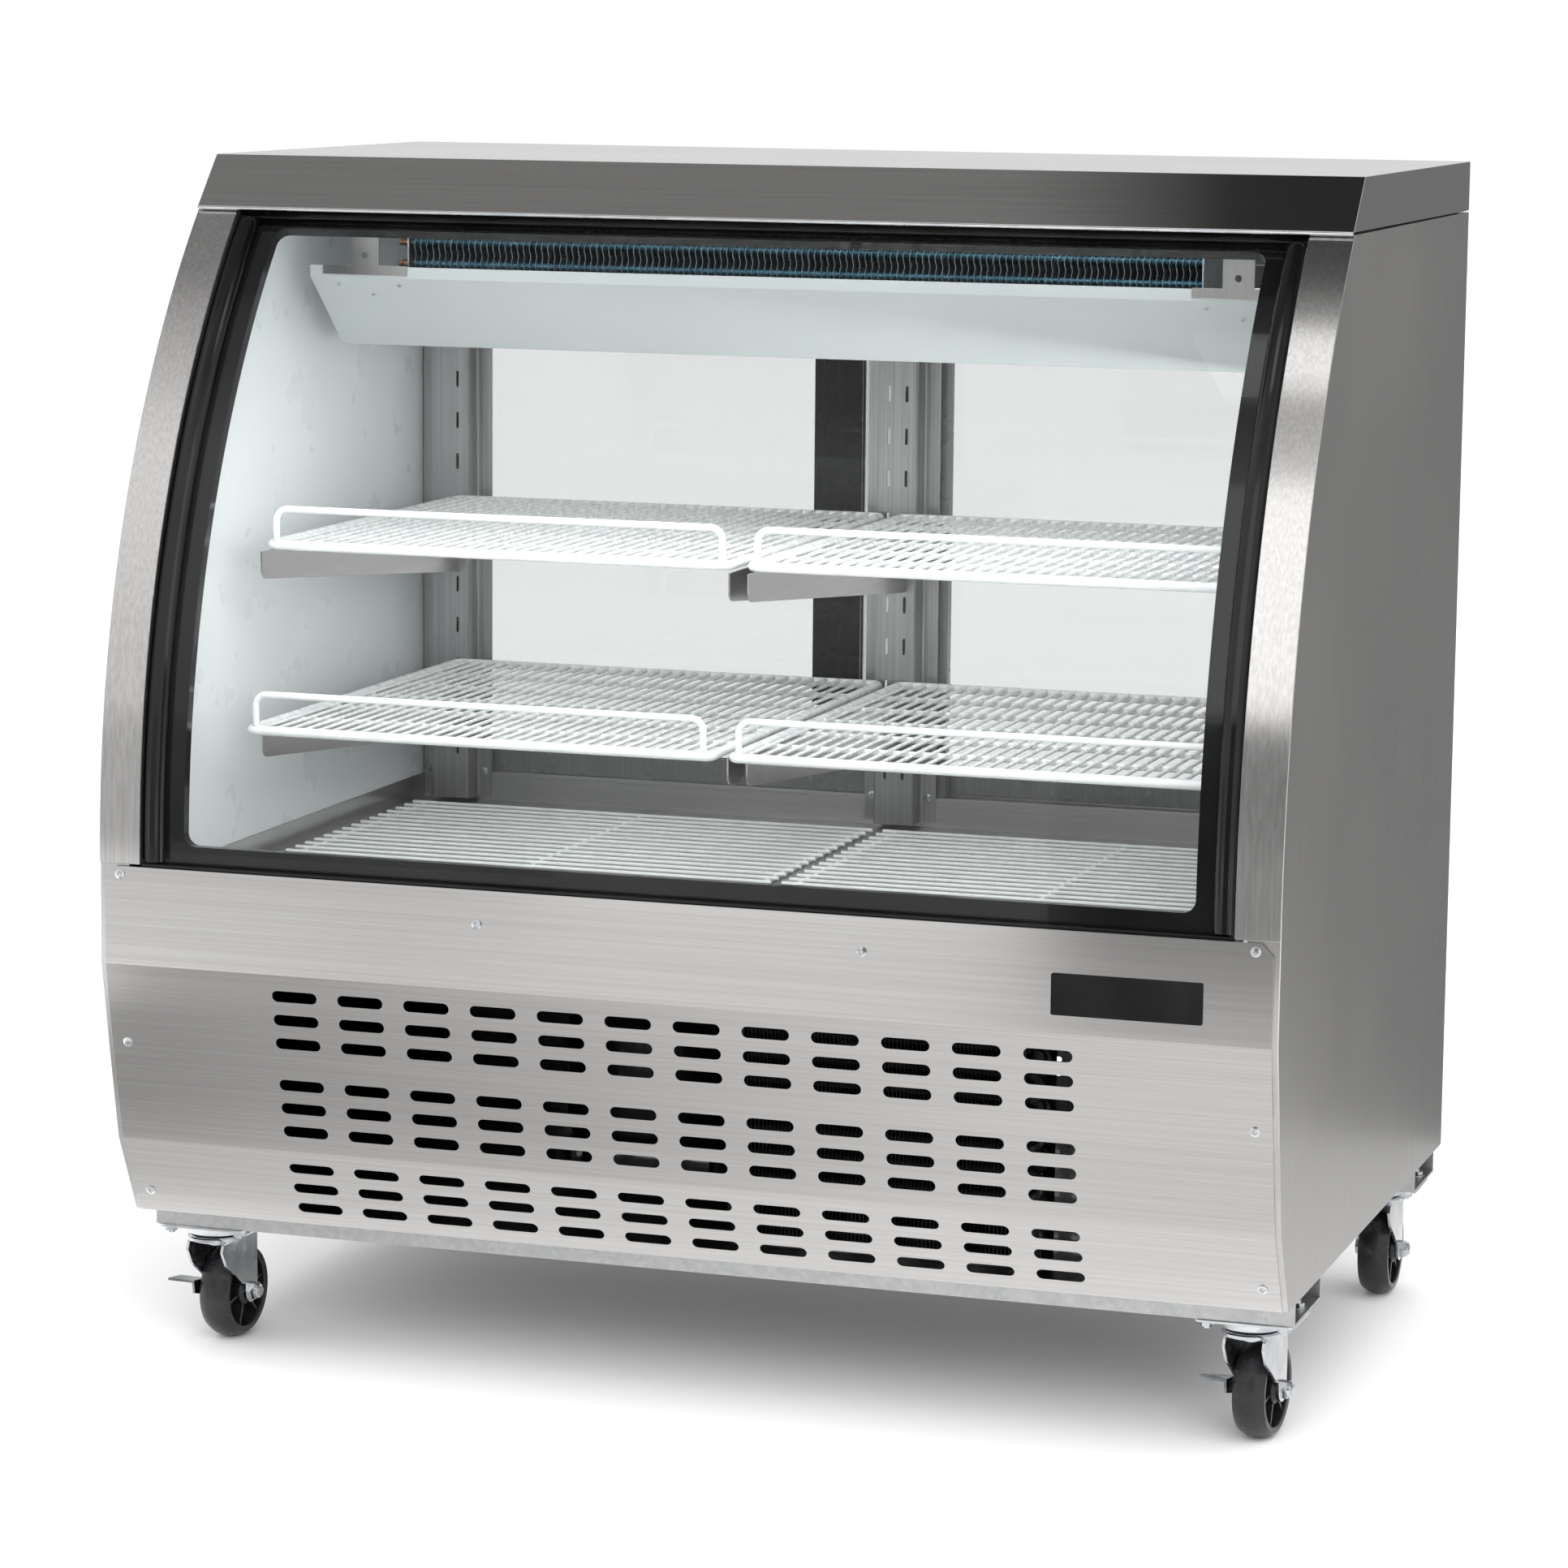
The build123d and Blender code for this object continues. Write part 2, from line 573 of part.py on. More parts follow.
# ---------------------------------------------------------------- wire shelves and racks
for tier, (support_z, front_y) in SHELF_TIERS.items():
    for side, (x0, x1) in SHELF_SIDES.items():
        frame_z = support_z + SHELF_SEAT + FRAME_WIRE_R
        wire_z = frame_z + FRAME_WIRE_R - WIRE_R
        cross_z = wire_z - WIRE_R - CROSS_WIRE_R + WELD
        frame_y = (front_y + FRAME_WIRE_R, SHELF_REAR_Y - FRAME_WIRE_R)
        middle_x = (x0 + x1) / 2
        middle_y = (frame_y[0] + frame_y[1]) / 2
        span_x = x1 - x0 - 2 * FRAME_WIRE_R
        span_y = frame_y[1] - frame_y[0]
        wires = round(span_x / SHELF_WIRE_PITCH) - 1
        with BuildPart() as shelf:
            with BuildSketch(Plane.XY.offset(frame_z), mode=Mode.PRIVATE) as frame_ring:
                with Locations((middle_x, middle_y)):
                    RectangleRounded(span_x, span_y, SHELF_CORNER)
            rim = frame_ring.sketch.face().outer_wire()
            with BuildSketch(Plane(rim @ 0, z_dir=rim % 0)):
                Circle(FRAME_WIRE_R)
            sweep(path=rim)
            with BuildSketch(Plane.XZ.offset(-frame_y[0])):
                with Locations((middle_x, wire_z)):
                    with GridLocations(span_x / (wires + 1), 1, wires, 1):
                        Circle(WIRE_R)
            extrude(amount=-span_y)
            with BuildSketch(Plane.YZ.offset(x0 + FRAME_WIRE_R)):
                with Locations((middle_y, cross_z)):
                    with GridLocations(span_y / (CROSS_WIRES + 1), 1, CROSS_WIRES, 1):
                        Circle(CROSS_WIRE_R)
            extrude(amount=span_x)
        write(shelf, f"shelf_{tier}_{side}")

with BuildPart() as shelf_guards:
    for support_z, front_y in SHELF_TIERS.values():
        for x0, x1 in SHELF_SIDES.values():
            guard_y = front_y + FRAME_WIRE_R
            foot = support_z + SHELF_SEAT + 2 * FRAME_WIRE_R
            top = foot - FRAME_WIRE_R + GUARD_TOP
            near, far = x0 + GUARD_INSET, x1 - GUARD_INSET
            with BuildLine(Plane.XZ.offset(-guard_y)) as guard_path:
                FilletPolyline((near, foot), (near, top), (far, top), (far, foot), radius=GUARD_BEND)
            with BuildSketch(Plane((near, guard_y, foot))):
                Circle(GUARD_R)
            sweep(path=guard_path.wire())
write(shelf_guards, "shelf_guards")

for side, (x0, x1) in RACK_SIDES.items():
    cross_z = FLOOR_Z + CROSS_WIRE_R
    wire_z = cross_z + CROSS_WIRE_R + WIRE_R - WELD
    wires = int((RACK_Y[1] - RACK_Y[0]) / RACK_WIRE_PITCH) + 1
    with BuildPart() as rack:
        with BuildSketch(Plane.YZ.offset(x0)):
            with Locations(((RACK_Y[0] + RACK_Y[1]) / 2, wire_z)):
                with GridLocations(RACK_WIRE_PITCH, 1, wires, 1):
                    Circle(WIRE_R)
        extrude(amount=x1 - x0)
        with BuildSketch(Plane.XZ.offset(-RACK_Y[0])):
            with Locations(((x0 + x1) / 2, cross_z)):
                with GridLocations((x1 - x0) / 2 - RACK_END, 1, RACK_CROSS_WIRES, 1):
                    Circle(CROSS_WIRE_R)
        extrude(amount=RACK_Y[0] - RACK_Y[1])
    write(rack, f"floor_rack_{side}")

with BuildPart() as shelf_posts:
    for centre in POST_CENTRES:
        near, far = centre - POST_HALF, centre + POST_HALF
        slab((near, far), (POST_FACE_Y, POST_FACE_Y + SHEET), POST_Z)
        slab((near, near + SHEET), (POST_FACE_Y, POST_BACK_Y), POST_Z)
        slab((far - SHEET, far), (POST_FACE_Y, POST_BACK_Y), POST_Z)
        slab((near - POST_FLANGE, near + SHEET), (POST_BACK_Y - SHEET, POST_BACK_Y), POST_Z)
        slab((far - SHEET, far + POST_FLANGE), (POST_BACK_Y - SHEET, POST_BACK_Y), POST_Z)
    slot_middle = SLOT_FIRST_Z + SLOT_GRID * (SLOT_COUNT - 1) / 2
    for line in HOOK_LINES:
        with BuildSketch(Plane.XZ.offset(-POST_FACE_Y)):
            with Locations((line, slot_middle)):
                with GridLocations(1, SLOT_GRID, 1, SLOT_COUNT):
                    SlotOverall(*HOOK_SLOT, rotation=90)
        extrude(amount=-SHEET, both=True, mode=Mode.SUBTRACT)
write(shelf_posts, "shelf_posts")

with BuildPart() as shelf_brackets:
    for support_z, front_y in SHELF_TIERS.values():
        for line in HOOK_LINES:
            with BuildSketch(Plane.YZ.offset(line - BRACKET_T / 2)):
                outline([
                    (BRACKET_FRONT_Y, support_z),
                    (BRACKET_FRONT_Y, support_z - BRACKET_FRONT_H),
                    (POST_FACE_Y, support_z - BRACKET_REAR_H),
                    (POST_FACE_Y, support_z),
                ])
                toe = (BRACKET_FRONT_Y, support_z - BRACKET_FRONT_H)
                fillet(vertices().sort_by_distance(toe)[0], radius=BRACKET_TOE)
            extrude(amount=BRACKET_T)
            thickness = (line - BRACKET_T / 2, line + BRACKET_T / 2)
            for hook in HOOK_Z:
                tang = (support_z + hook, support_z + hook + HOOK_SIZE[1])
                slab(thickness, (POST_FACE_Y, POST_FACE_Y + HOOK_SIZE[0]), tang)
write(shelf_brackets, "shelf_brackets")

# ---------------------------------------------------------------- evaporator and drip pan
with BuildPart() as evaporator_coil:
    end_t = 2.0
    fin_x = COIL_X - 2 * end_t
    slab((-fin_x, fin_x), COIL_Y, COIL_Z)
    for sign in (-1, 1):
        end_y = (COIL_Y[0] - 3, COIL_Y[1] + 3)
        slab(both_ways(fin_x, fin_x + end_t, sign), end_y, (COIL_Z[0], COIL_Z[1] + 1.5))
write(evaporator_coil, "evaporator_coil")

with BuildPart() as drip_pan:
    with BuildSketch(Plane.YZ):
        outline(PAN_LINE)
    extrude(amount=PAN_X, both=True)
    with BuildSketch(Plane.YZ):
        outline(PAN_HOLLOW)
    extrude(amount=PAN_X - SHEET, both=True, mode=Mode.SUBTRACT)
write(drip_pan, "drip_pan")

with BuildPart() as drip_pan_hangers:
    for sign in (-1, 1):
        middle = sign * HANGER_X
        strap_x = (middle - HANGER_HALF, middle + HANGER_HALF)
        slab(strap_x, HANGER_Y, (HANGER_Z[0], ROOF_Z))
        slab((middle - HANGER_FOOT, middle + HANGER_FOOT), HANGER_Y, HANGER_Z)
        with BuildSketch(Plane.XZ.offset(-HANGER_Y[1])):
            with Locations((middle, HANGER_HOLE[0])):
                Circle(HANGER_HOLE[1])
        extrude(amount=HANGER_T, mode=Mode.SUBTRACT)
        slab(strap_x, (HANGER_Y[1], HANGER_TAB_Y), (ROOF_Z - HANGER_T, ROOF_Z))
write(drip_pan_hangers, "drip_pan_hangers")

with BuildPart() as light_tube:
    slab(*LIGHT_CASE)
    tube_y, tube_z, tube_r = LIGHT_TUBE
    with BuildSketch(Plane.YZ.offset(-LIGHT_TUBE_X)):
        with Locations((tube_y, tube_z)):
            Circle(tube_r)
    extrude(amount=2 * LIGHT_TUBE_X)
write(light_tube, "light_tube")

# ---------------------------------------------------------------- rear frame and sliding doors
with BuildPart() as rear_frame:
    slab((-LINED_W, LINED_W), REAR_FRAME_Y, (HEADER_Z, ROOF_Z))
    slab((-LINED_W, LINED_W), REAR_FRAME_Y, SILL_Z)
    for sign in (-1, 1):
        slab(both_ways(JAMB_X, LINED_W, sign), REAR_FRAME_Y, (SILL_Z[1], HEADER_Z))
    for _, track_y in DOORS.values():
        groove = (track_y - TRACK_W / 2, track_y + TRACK_W / 2)
        lift_out = HEADER_Z + TRACK_DEPTH + 2 * CLEARANCE
        slab((-JAMB_X, JAMB_X), groove, (SILL_Z[1] - TRACK_DEPTH, SILL_Z[1]), mode=Mode.SUBTRACT)
        slab((-JAMB_X, JAMB_X), groove, (HEADER_Z, lift_out), mode=Mode.SUBTRACT)
write(rear_frame, "rear_frame")

for side, (x0, track_y) in DOORS.items():
    x1 = x0 + DOOR_W
    door_y = (track_y - DOOR_T / 2, track_y + DOOR_T / 2)
    glass_y = (track_y - DOOR_GLASS_T / 2, track_y + DOOR_GLASS_T / 2)
    opening_x = (x0 + DOOR_STILE, x1 - DOOR_STILE)
    opening_z = (DOOR_Z[0] + DOOR_RAIL, DOOR_Z[1] - DOOR_RAIL)
    pane_x = (opening_x[0] - DOOR_REBATE, opening_x[1] + DOOR_REBATE)
    pane_z = (opening_z[0] - DOOR_REBATE, opening_z[1] + DOOR_REBATE)
    pull_x = x0 + DOOR_STILE / 2 if side == "left" else x1 - DOOR_STILE / 2
    pull_spot = Plane((pull_x, door_y[1], PULL_Z), x_dir=(-1, 0, 0), z_dir=(0, 1, 0))
    with BuildPart() as door_frame:
        slab((x0, x1), door_y, DOOR_Z)
        slab(opening_x, door_y, opening_z, mode=Mode.SUBTRACT)
        slab(pane_x, glass_y, pane_z, mode=Mode.SUBTRACT)
        with BuildSketch(pull_spot):
            RectangleRounded(PULL[0], PULL[1], PULL_CORNER)
        extrude(amount=-PULL[2], mode=Mode.SUBTRACT)
    write(door_frame, f"door_frame_{side}")
    with BuildPart() as door_glass:
        slab(pane_x, glass_y, pane_z)
    write(door_glass, f"door_glass_{side}")

# ---------------------------------------------------------------- rear machine cover and controls
with BuildPart() as rear_panel:
    panel_x = INNER_W - CLEARANCE
    slab((-panel_x, panel_x), (PANEL_REAR_Y - SHEET, PANEL_REAR_Y), REAR_PANEL_Z)
    with BuildSketch(Plane.XZ.offset(-PANEL_REAR_Y)):
        with Locations(*LOUVRE_SPOTS):
            with GridLocations(*LOUVRE_GRID):
                SlotOverall(*LOUVRE)
    extrude(amount=SHEET, both=True, mode=Mode.SUBTRACT)
    for middle, (half_x, half_z) in ((CONTROL, CONTROL_BODY), (SWITCH, SWITCH_BODY), (INLET, INLET_BODY)):
        room = CLEARANCE if middle == CONTROL else CLEARANCE / 2
        panel(middle, (half_x + room, half_z + room), CUT_Y, Mode.SUBTRACT)
    for spot in rear_screw_spots():
        with BuildSketch(spot):
            Circle(SCREW_R)
        extrude(amount=-SHEET, mode=Mode.SUBTRACT)
write(rear_panel, "rear_panel")

with BuildPart() as controller:
    panel(CONTROL, CONTROL_BODY, (CONTROL_FRONT_Y, PANEL_REAR_Y))
    panel(CONTROL, CONTROL_BEZEL, (PANEL_REAR_Y, BEZEL_Y))
    for x in BUTTON_XS.values():
        with BuildSketch(Plane.XZ.offset(-BEZEL_Y)):
            with Locations((CONTROL[0] - x, CONTROL[1] - BUTTON_DROP)):
                Circle(BUTTON_R + BUTTON_GAP)
        extrude(amount=BUTTON_L + 0.7, both=True, mode=Mode.SUBTRACT)
write(controller, "controller")

for name, x in BUTTON_XS.items():
    with BuildPart() as button:
        with BuildSketch(Plane.XZ.offset(BUTTON_ROOT - BEZEL_Y)):
            with Locations((CONTROL[0] - x, CONTROL[1] - BUTTON_DROP)):
                Circle(BUTTON_R)
        extrude(amount=-BUTTON_L)
    write(button, name)

with BuildPart() as switch_housing:
    panel(SWITCH, SWITCH_BODY, (SWITCH_Y[0], PANEL_REAR_Y))
    panel(SWITCH, SWITCH_BEZEL, (PANEL_REAR_Y, PANEL_REAR_Y + 1))
    panel(SWITCH, SWITCH_WELL, (SWITCH_Y[1], CUT_Y[1]), Mode.SUBTRACT)
    with BuildSketch(Plane.YZ.offset(SWITCH[0])):
        with Locations((ROCKER_Y, SWITCH[1])):
            Circle(ROCKER_PIN[0] + RUN_FIT)
    extrude(amount=ROCKER_PIN[1] + 0.2, both=True, mode=Mode.SUBTRACT)
write(switch_housing, "switch_housing")

with BuildPart() as light_switch:
    pivot = Plane(
        origin=(SWITCH[0], ROCKER_Y, SWITCH[1]),
        x_dir=(0, math.cos(math.radians(ROCKER_TILT)), math.sin(math.radians(ROCKER_TILT))),
        z_dir=(1, 0, 0),
    )
    with BuildSketch(pivot):
        outline(ROCKER_SHAPE)
    extrude(amount=ROCKER_X, both=True)
    with BuildSketch(pivot):
        Circle(ROCKER_PIN[0])
    extrude(amount=ROCKER_PIN[1], both=True)
write(light_switch, "light_switch")

with BuildPart() as power_inlet:
    panel(INLET, INLET_BODY, (INLET_Y[0], PANEL_REAR_Y))
    panel(INLET, INLET_BEZEL, (PANEL_REAR_Y, PANEL_REAR_Y + INLET_BEZEL_T))
    panel(INLET, INLET_WELL, (INLET_Y[1], CUT_Y[1]), Mode.SUBTRACT)
    for x in INLET_PINS:
        panel((INLET[0] + x, INLET[1]), INLET_PIN, (INLET_Y[1], INLET_PIN_END_Y))
write(power_inlet, "power_inlet")

# ---------------------------------------------------------------- condensing unit
with BuildPart() as condenser_coil:
    (low_x, high_x), (inset, end_t) = CONDENSER_X, CONDENSER_END
    slab((low_x + inset, high_x - inset), CONDENSER_Y, (CONDENSER_Z[0] + 4, CONDENSER_Z[1] - 4))
    for x in (low_x + inset - end_t, high_x - inset):
        end_y = (CONDENSER_Y[0] - 2, CONDENSER_Y[1])
        slab((x, x + end_t), end_y, (BASE_Z + BASE_PAN_T, CONDENSER_Z[1]))
write(condenser_coil, "condenser_coil")

with BuildPart() as fan_shroud:
    slab(CONDENSER_X, SHROUD_Y, (BASE_Z + BASE_PAN_T, CONDENSER_Z[1]))
    with BuildSketch(Plane.XZ.offset(-SHROUD_Y[0])):
        with Locations((FAN_X, FAN_Z)):
            Circle(FAN_RING_R)
    extrude(amount=SHROUD_Y[0] - SHROUD_Y[1], mode=Mode.SUBTRACT)
write(fan_shroud, "fan_shroud")

with BuildPart() as condenser_fan:
    hub_plane = Plane((FAN_X, FAN_Y[1], FAN_Z), x_dir=(1, 0, 0), z_dir=(0, -1, 0))
    with BuildSketch(hub_plane):
        Circle(FAN_HUB_R)
    extrude(amount=FAN_Y[1] - FAN_Y[0])
    for blade in range(BLADES):
        turn = math.radians(360 / BLADES * blade)
        outward = Vector(math.cos(turn), 0, math.sin(turn))
        swing = Vector(-math.sin(turn), 0, math.cos(turn))
        root = Vector(FAN_X, sum(FAN_Y) / 2, FAN_Z) + outward * FAN_ROOT_R
        with BuildSketch(Plane(root, x_dir=swing, z_dir=outward)):
            Rectangle(BLADE[0], BLADE[1], rotation=BLADE[2])
        extrude(amount=FAN_R - FAN_ROOT_R)
    with BuildSketch(hub_plane):
        Circle(SHAFT_R + RUN_FIT)
    extrude(amount=FAN_BORE, mode=Mode.SUBTRACT)
write(condenser_fan, "condenser_fan")

with BuildPart() as fan_motor:
    with BuildSketch(hub_plane.offset(-FAN_BORE)):
        Circle(MOTOR_R)
    extrude(amount=-MOTOR_L)
    with BuildSketch(hub_plane.offset(-FAN_BORE)):
        Circle(SHAFT_R)
    extrude(amount=SHAFT_L)
    strap_z = (FAN_Z - STRAP_Z, FAN_Z + STRAP_Z)
    for sign in (-1, 1):
        inner, bend, tip = (FAN_X + sign * x for x in STRAP_X)
        slab(sorted((inner, tip)), (SHROUD_Y[1], SHROUD_Y[1] + STRAP_T), strap_z)
        slab(sorted((inner, bend)), (SHROUD_Y[1], SHROUD_Y[1] + STRAP_L), strap_z)
write(fan_motor, "fan_motor")

with BuildPart() as compressor:
    foot_x, foot_y, foot_corner, foot_t = COMPRESSOR_FOOT
    pad_x, pad_y, pad_r, pad_t = COMPRESSOR_PADS
    foot_z = BASE_Z + BASE_PAN_T + pad_t
    with BuildSketch(Plane((*COMPRESSOR, foot_z + foot_t / 2))):
        Ellipse(*COMPRESSOR_SHELL[:2])
    extrude(amount=COMPRESSOR_SHELL[2])
    fillet(compressor.edges().group_by(Axis.Z)[-1], radius=COMPRESSOR_ROUNDS[0])
    fillet(compressor.edges().group_by(Axis.Z)[0], radius=COMPRESSOR_ROUNDS[1])
    with BuildSketch(Plane((*COMPRESSOR, foot_z))):
        RectangleRounded(foot_x, foot_y, foot_corner)
    extrude(amount=foot_t)
    with BuildSketch(Plane((*COMPRESSOR, foot_z - pad_t))):
        with GridLocations(pad_x, pad_y, 2, 2):
            Circle(pad_r)
    extrude(amount=pad_t)
    box_l, box_half, (box_low, box_high) = TERMINAL_BOX
    box_y = (COMPRESSOR[1] - box_half, COMPRESSOR[1] + box_half)
    slab((TERMINAL_X, TERMINAL_X + box_l), box_y, (BASE_Z + box_low, BASE_Z + box_high))
write(compressor, "compressor")


# ---------------------------------------------------------------- copper lines
def copper_line(points, radius, bend):
    """Round tube along straight runs with rounded corners."""
    with BuildLine() as path:
        FilletPolyline(*points, radius=bend)
    wire = path.wire()
    with BuildSketch(Plane(wire @ 0, z_dir=wire % 0)) as section:
        Circle(radius)
    sweep(section.sketch, path=wire)


with BuildPart() as copper_lines:
    for points, radius, bend in LINES:
        copper_line(points, radius, bend)
    with Locations(RECEIVER[:3]):
        Cylinder(*RECEIVER[3:])
    near, far = -COIL_X + 2, -COIL_X - BEND_OUT
    half_pitch = COIL_GRID[0] / 2
    for row in range(COIL_ROWS):
        for column in range(COIL_COLUMNS):
            y = COIL_Y[0] + COIL_FIRST[0] + COIL_GRID[0] * column
            z = COIL_Z[0] + COIL_FIRST[1] + COIL_GRID[1] * row
            bend_path = [(near, y, z), (far, y, z), (far, y + half_pitch, z), (near, y + half_pitch, z)]
            copper_line(bend_path, COIL_TUBE_R, 5)
write(copper_lines, "copper_lines")


# ---------------------------------------------------------------- swivel casters
def caster_frame(place):
    """Plane on the floor under the swivel axis; y points where the wheel trails."""
    row, side = place.split("_")
    turn = math.radians(CASTER_TURN[place])
    x = CASTER_X if side == "right" else -CASTER_X
    return Plane((x, CASTER_Y[row], 0), x_dir=(math.cos(turn), math.sin(turn), 0), z_dir=(0, 0, 1))


def across(frame, x, y, z):
    """Plane across the caster, facing along its axle."""
    return Plane(frame.from_local_coords((x, y, z)), x_dir=frame.y_dir, z_dir=frame.x_dir)


def caster_fork(frame, spacer):
    """Crown and two swept legs, with the loose axle bolt; spacer is room left for a brake."""
    low, high = CROWN_Z
    outer = LEG_X + LEG_T
    front_y, rear_y = LEG_Y
    with BuildPart() as fork:
        with BuildSketch(frame.offset(low)):
            with BuildLine():
                Polyline((CROWN_R, 0), (outer, rear_y), (-outer, rear_y), (-CROWN_R, 0))
                ThreePointArc((-CROWN_R, 0), (0, -CROWN_R), (CROWN_R, 0))
            make_face()
            Circle(KINGPIN_R + RUN_FIT, mode=Mode.SUBTRACT)
        extrude(amount=high - low)
        for x in (-outer, LEG_X):
            with BuildSketch(across(frame, x, 0, 0)):
                ends = (TRAIL + LEG_ROUND, WHEEL_R), (TRAIL - LEG_ROUND, WHEEL_R)
                shoulder = (front_y, low - LEG_SHOULDER)
                with BuildLine():
                    Polyline((front_y, low), (rear_y, low), ends[0])
                    ThreePointArc(ends[0], (TRAIL, WHEEL_R - LEG_ROUND), ends[1])
                    ThreePointArc(ends[1], LEG_WAIST, shoulder)
                    Line(shoulder, (front_y, low))
                make_face()
                with Locations((TRAIL, WHEEL_R)):
                    Circle(AXLE_R + SLIP_FIT, mode=Mode.SUBTRACT)
            extrude(amount=LEG_T)
        head = across(frame, -outer - spacer - AXLE_HEAD, TRAIL, WHEEL_R)
        with BuildSketch(head):
            Circle(AXLE_R)
        extrude(amount=2 * outer + spacer + AXLE_HEAD + AXLE_END)
        with BuildSketch(head):
            RegularPolygon(AXLE_FLAT, 6, major_radius=False)
        extrude(amount=AXLE_HEAD - SLIP_FIT)
        with BuildSketch(across(frame, outer + SLIP_FIT, TRAIL, WHEEL_R)):
            RegularPolygon(AXLE_FLAT, 6, major_radius=False)
        extrude(amount=AXLE_NUT)
    return fork


def caster_wheel(frame):
    """Solid tyre and spoked hub, bored for the axle."""
    hub_x = LEG_X - SIDE_GAP
    spoke_l = DISH_R[1] - DISH_R[0] + 3
    with BuildPart() as wheel:
        with BuildSketch(across(frame, -WHEEL_W / 2, TRAIL, WHEEL_R)):
            Circle(WHEEL_R)
        extrude(amount=WHEEL_W)
        fillet(wheel.edges().filter_by(GeomType.CIRCLE), radius=TREAD_ROUND)
        for x, way in ((-WHEEL_W / 2, 1), (WHEEL_W / 2, -1)):
            with BuildSketch(across(frame, x, TRAIL, WHEEL_R)):
                Circle(DISH_R[1])
                Circle(DISH_R[0], mode=Mode.SUBTRACT)
                with PolarLocations(sum(DISH_R) / 2, SPOKES):
                    Rectangle(spoke_l, SPOKE_W, mode=Mode.SUBTRACT)
            extrude(amount=way * DISH_DEPTH, mode=Mode.SUBTRACT)
        for x in (-hub_x, WHEEL_W / 2):
            with BuildSketch(across(frame, x, TRAIL, WHEEL_R)):
                Circle(HUB_R)
            extrude(amount=hub_x - WHEEL_W / 2)
        with BuildSketch(across(frame, -WHEEL_R, TRAIL, WHEEL_R)):
            Circle(AXLE_R + RUN_FIT)
        extrude(amount=2 * WHEEL_R, mode=Mode.SUBTRACT)
    return wheel


PLATE_Z = RAIL_Z - PLATE[2]

with BuildPart() as caster_plates:
    for place in CASTER_TURN:
        x, y, _ = caster_frame(place).origin
        with BuildSketch(Plane((x, y, PLATE_Z))):
            RectangleRounded(PLATE[0], PLATE[1], PLATE_CORNER)
            with GridLocations(*PLATE_BOLTS, 2, 2):
                Circle(BOLT_HOLE_R, mode=Mode.SUBTRACT)
        extrude(amount=PLATE[2])
        race_z = CROWN_Z[1] + CROWN_GAP
        head_z = CROWN_Z[0] - CROWN_GAP
        for radius, low, high in (
            (RACE_R, race_z, PLATE_Z),
            (KINGPIN_R, head_z - 4, race_z),
            (KINGPIN_HEAD_R, head_z - KINGPIN_HEAD, head_z),
        ):
            with BuildSketch(Plane((x, y, low))):
                Circle(radius)
            extrude(amount=high - low)
write(caster_plates, "caster_plates")

with BuildPart() as caster_bolts:
    for place in CASTER_TURN:
        x, y, _ = caster_frame(place).origin
        for height, amount in ((PLATE_Z - BOLT_HEAD, BOLT_HEAD), (RAIL_Z + RAIL_T, BOLT_NUT)):
            with BuildSketch(Plane((x, y, height))):
                with GridLocations(*PLATE_BOLTS, 2, 2):
                    RegularPolygon(BOLT_FLAT, 6, major_radius=False)
            extrude(amount=amount)
        with BuildSketch(Plane((x, y, PLATE_Z - 1))):
            with GridLocations(*PLATE_BOLTS, 2, 2):
                Circle(BOLT_R)
        extrude(amount=RAIL_T + PLATE[2] + 8)
write(caster_bolts, "caster_bolts")

for place in CASTER_TURN:
    spot = caster_frame(place)
    spacer = BRAKE_T + 2 * BRAKE_GAP if place in BRAKED else 0
    write(caster_fork(spot, spacer), f"fork_{place}")
    write(caster_wheel(spot), f"wheel_{place}")

for place in BRAKED:
    spot = caster_frame(place)
    inner = -LEG_X - LEG_T - BRAKE_GAP
    with BuildPart() as brake:
        with BuildSketch(across(spot, inner - BRAKE_T, TRAIL, WHEEL_R)):
            Circle(BRAKE_EYE_R)
            with BuildLine():
                Polyline(*BRAKE_ARM, close=True)
            make_face()
            Circle(AXLE_R + RUN_FIT, mode=Mode.SUBTRACT)
        extrude(amount=BRAKE_T)
        with BuildSketch(across(spot, -BRAKE_REACH, TRAIL, WHEEL_R)):
            with BuildLine():
                Polyline(*BRAKE_PEDAL, close=True)
            make_face()
        extrude(amount=BRAKE_REACH + inner - BRAKE_T / 2)
    write(brake, f"brake_{place}")
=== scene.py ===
import json
import math

import bmesh
import bpy
from mathutils import Matrix, Vector

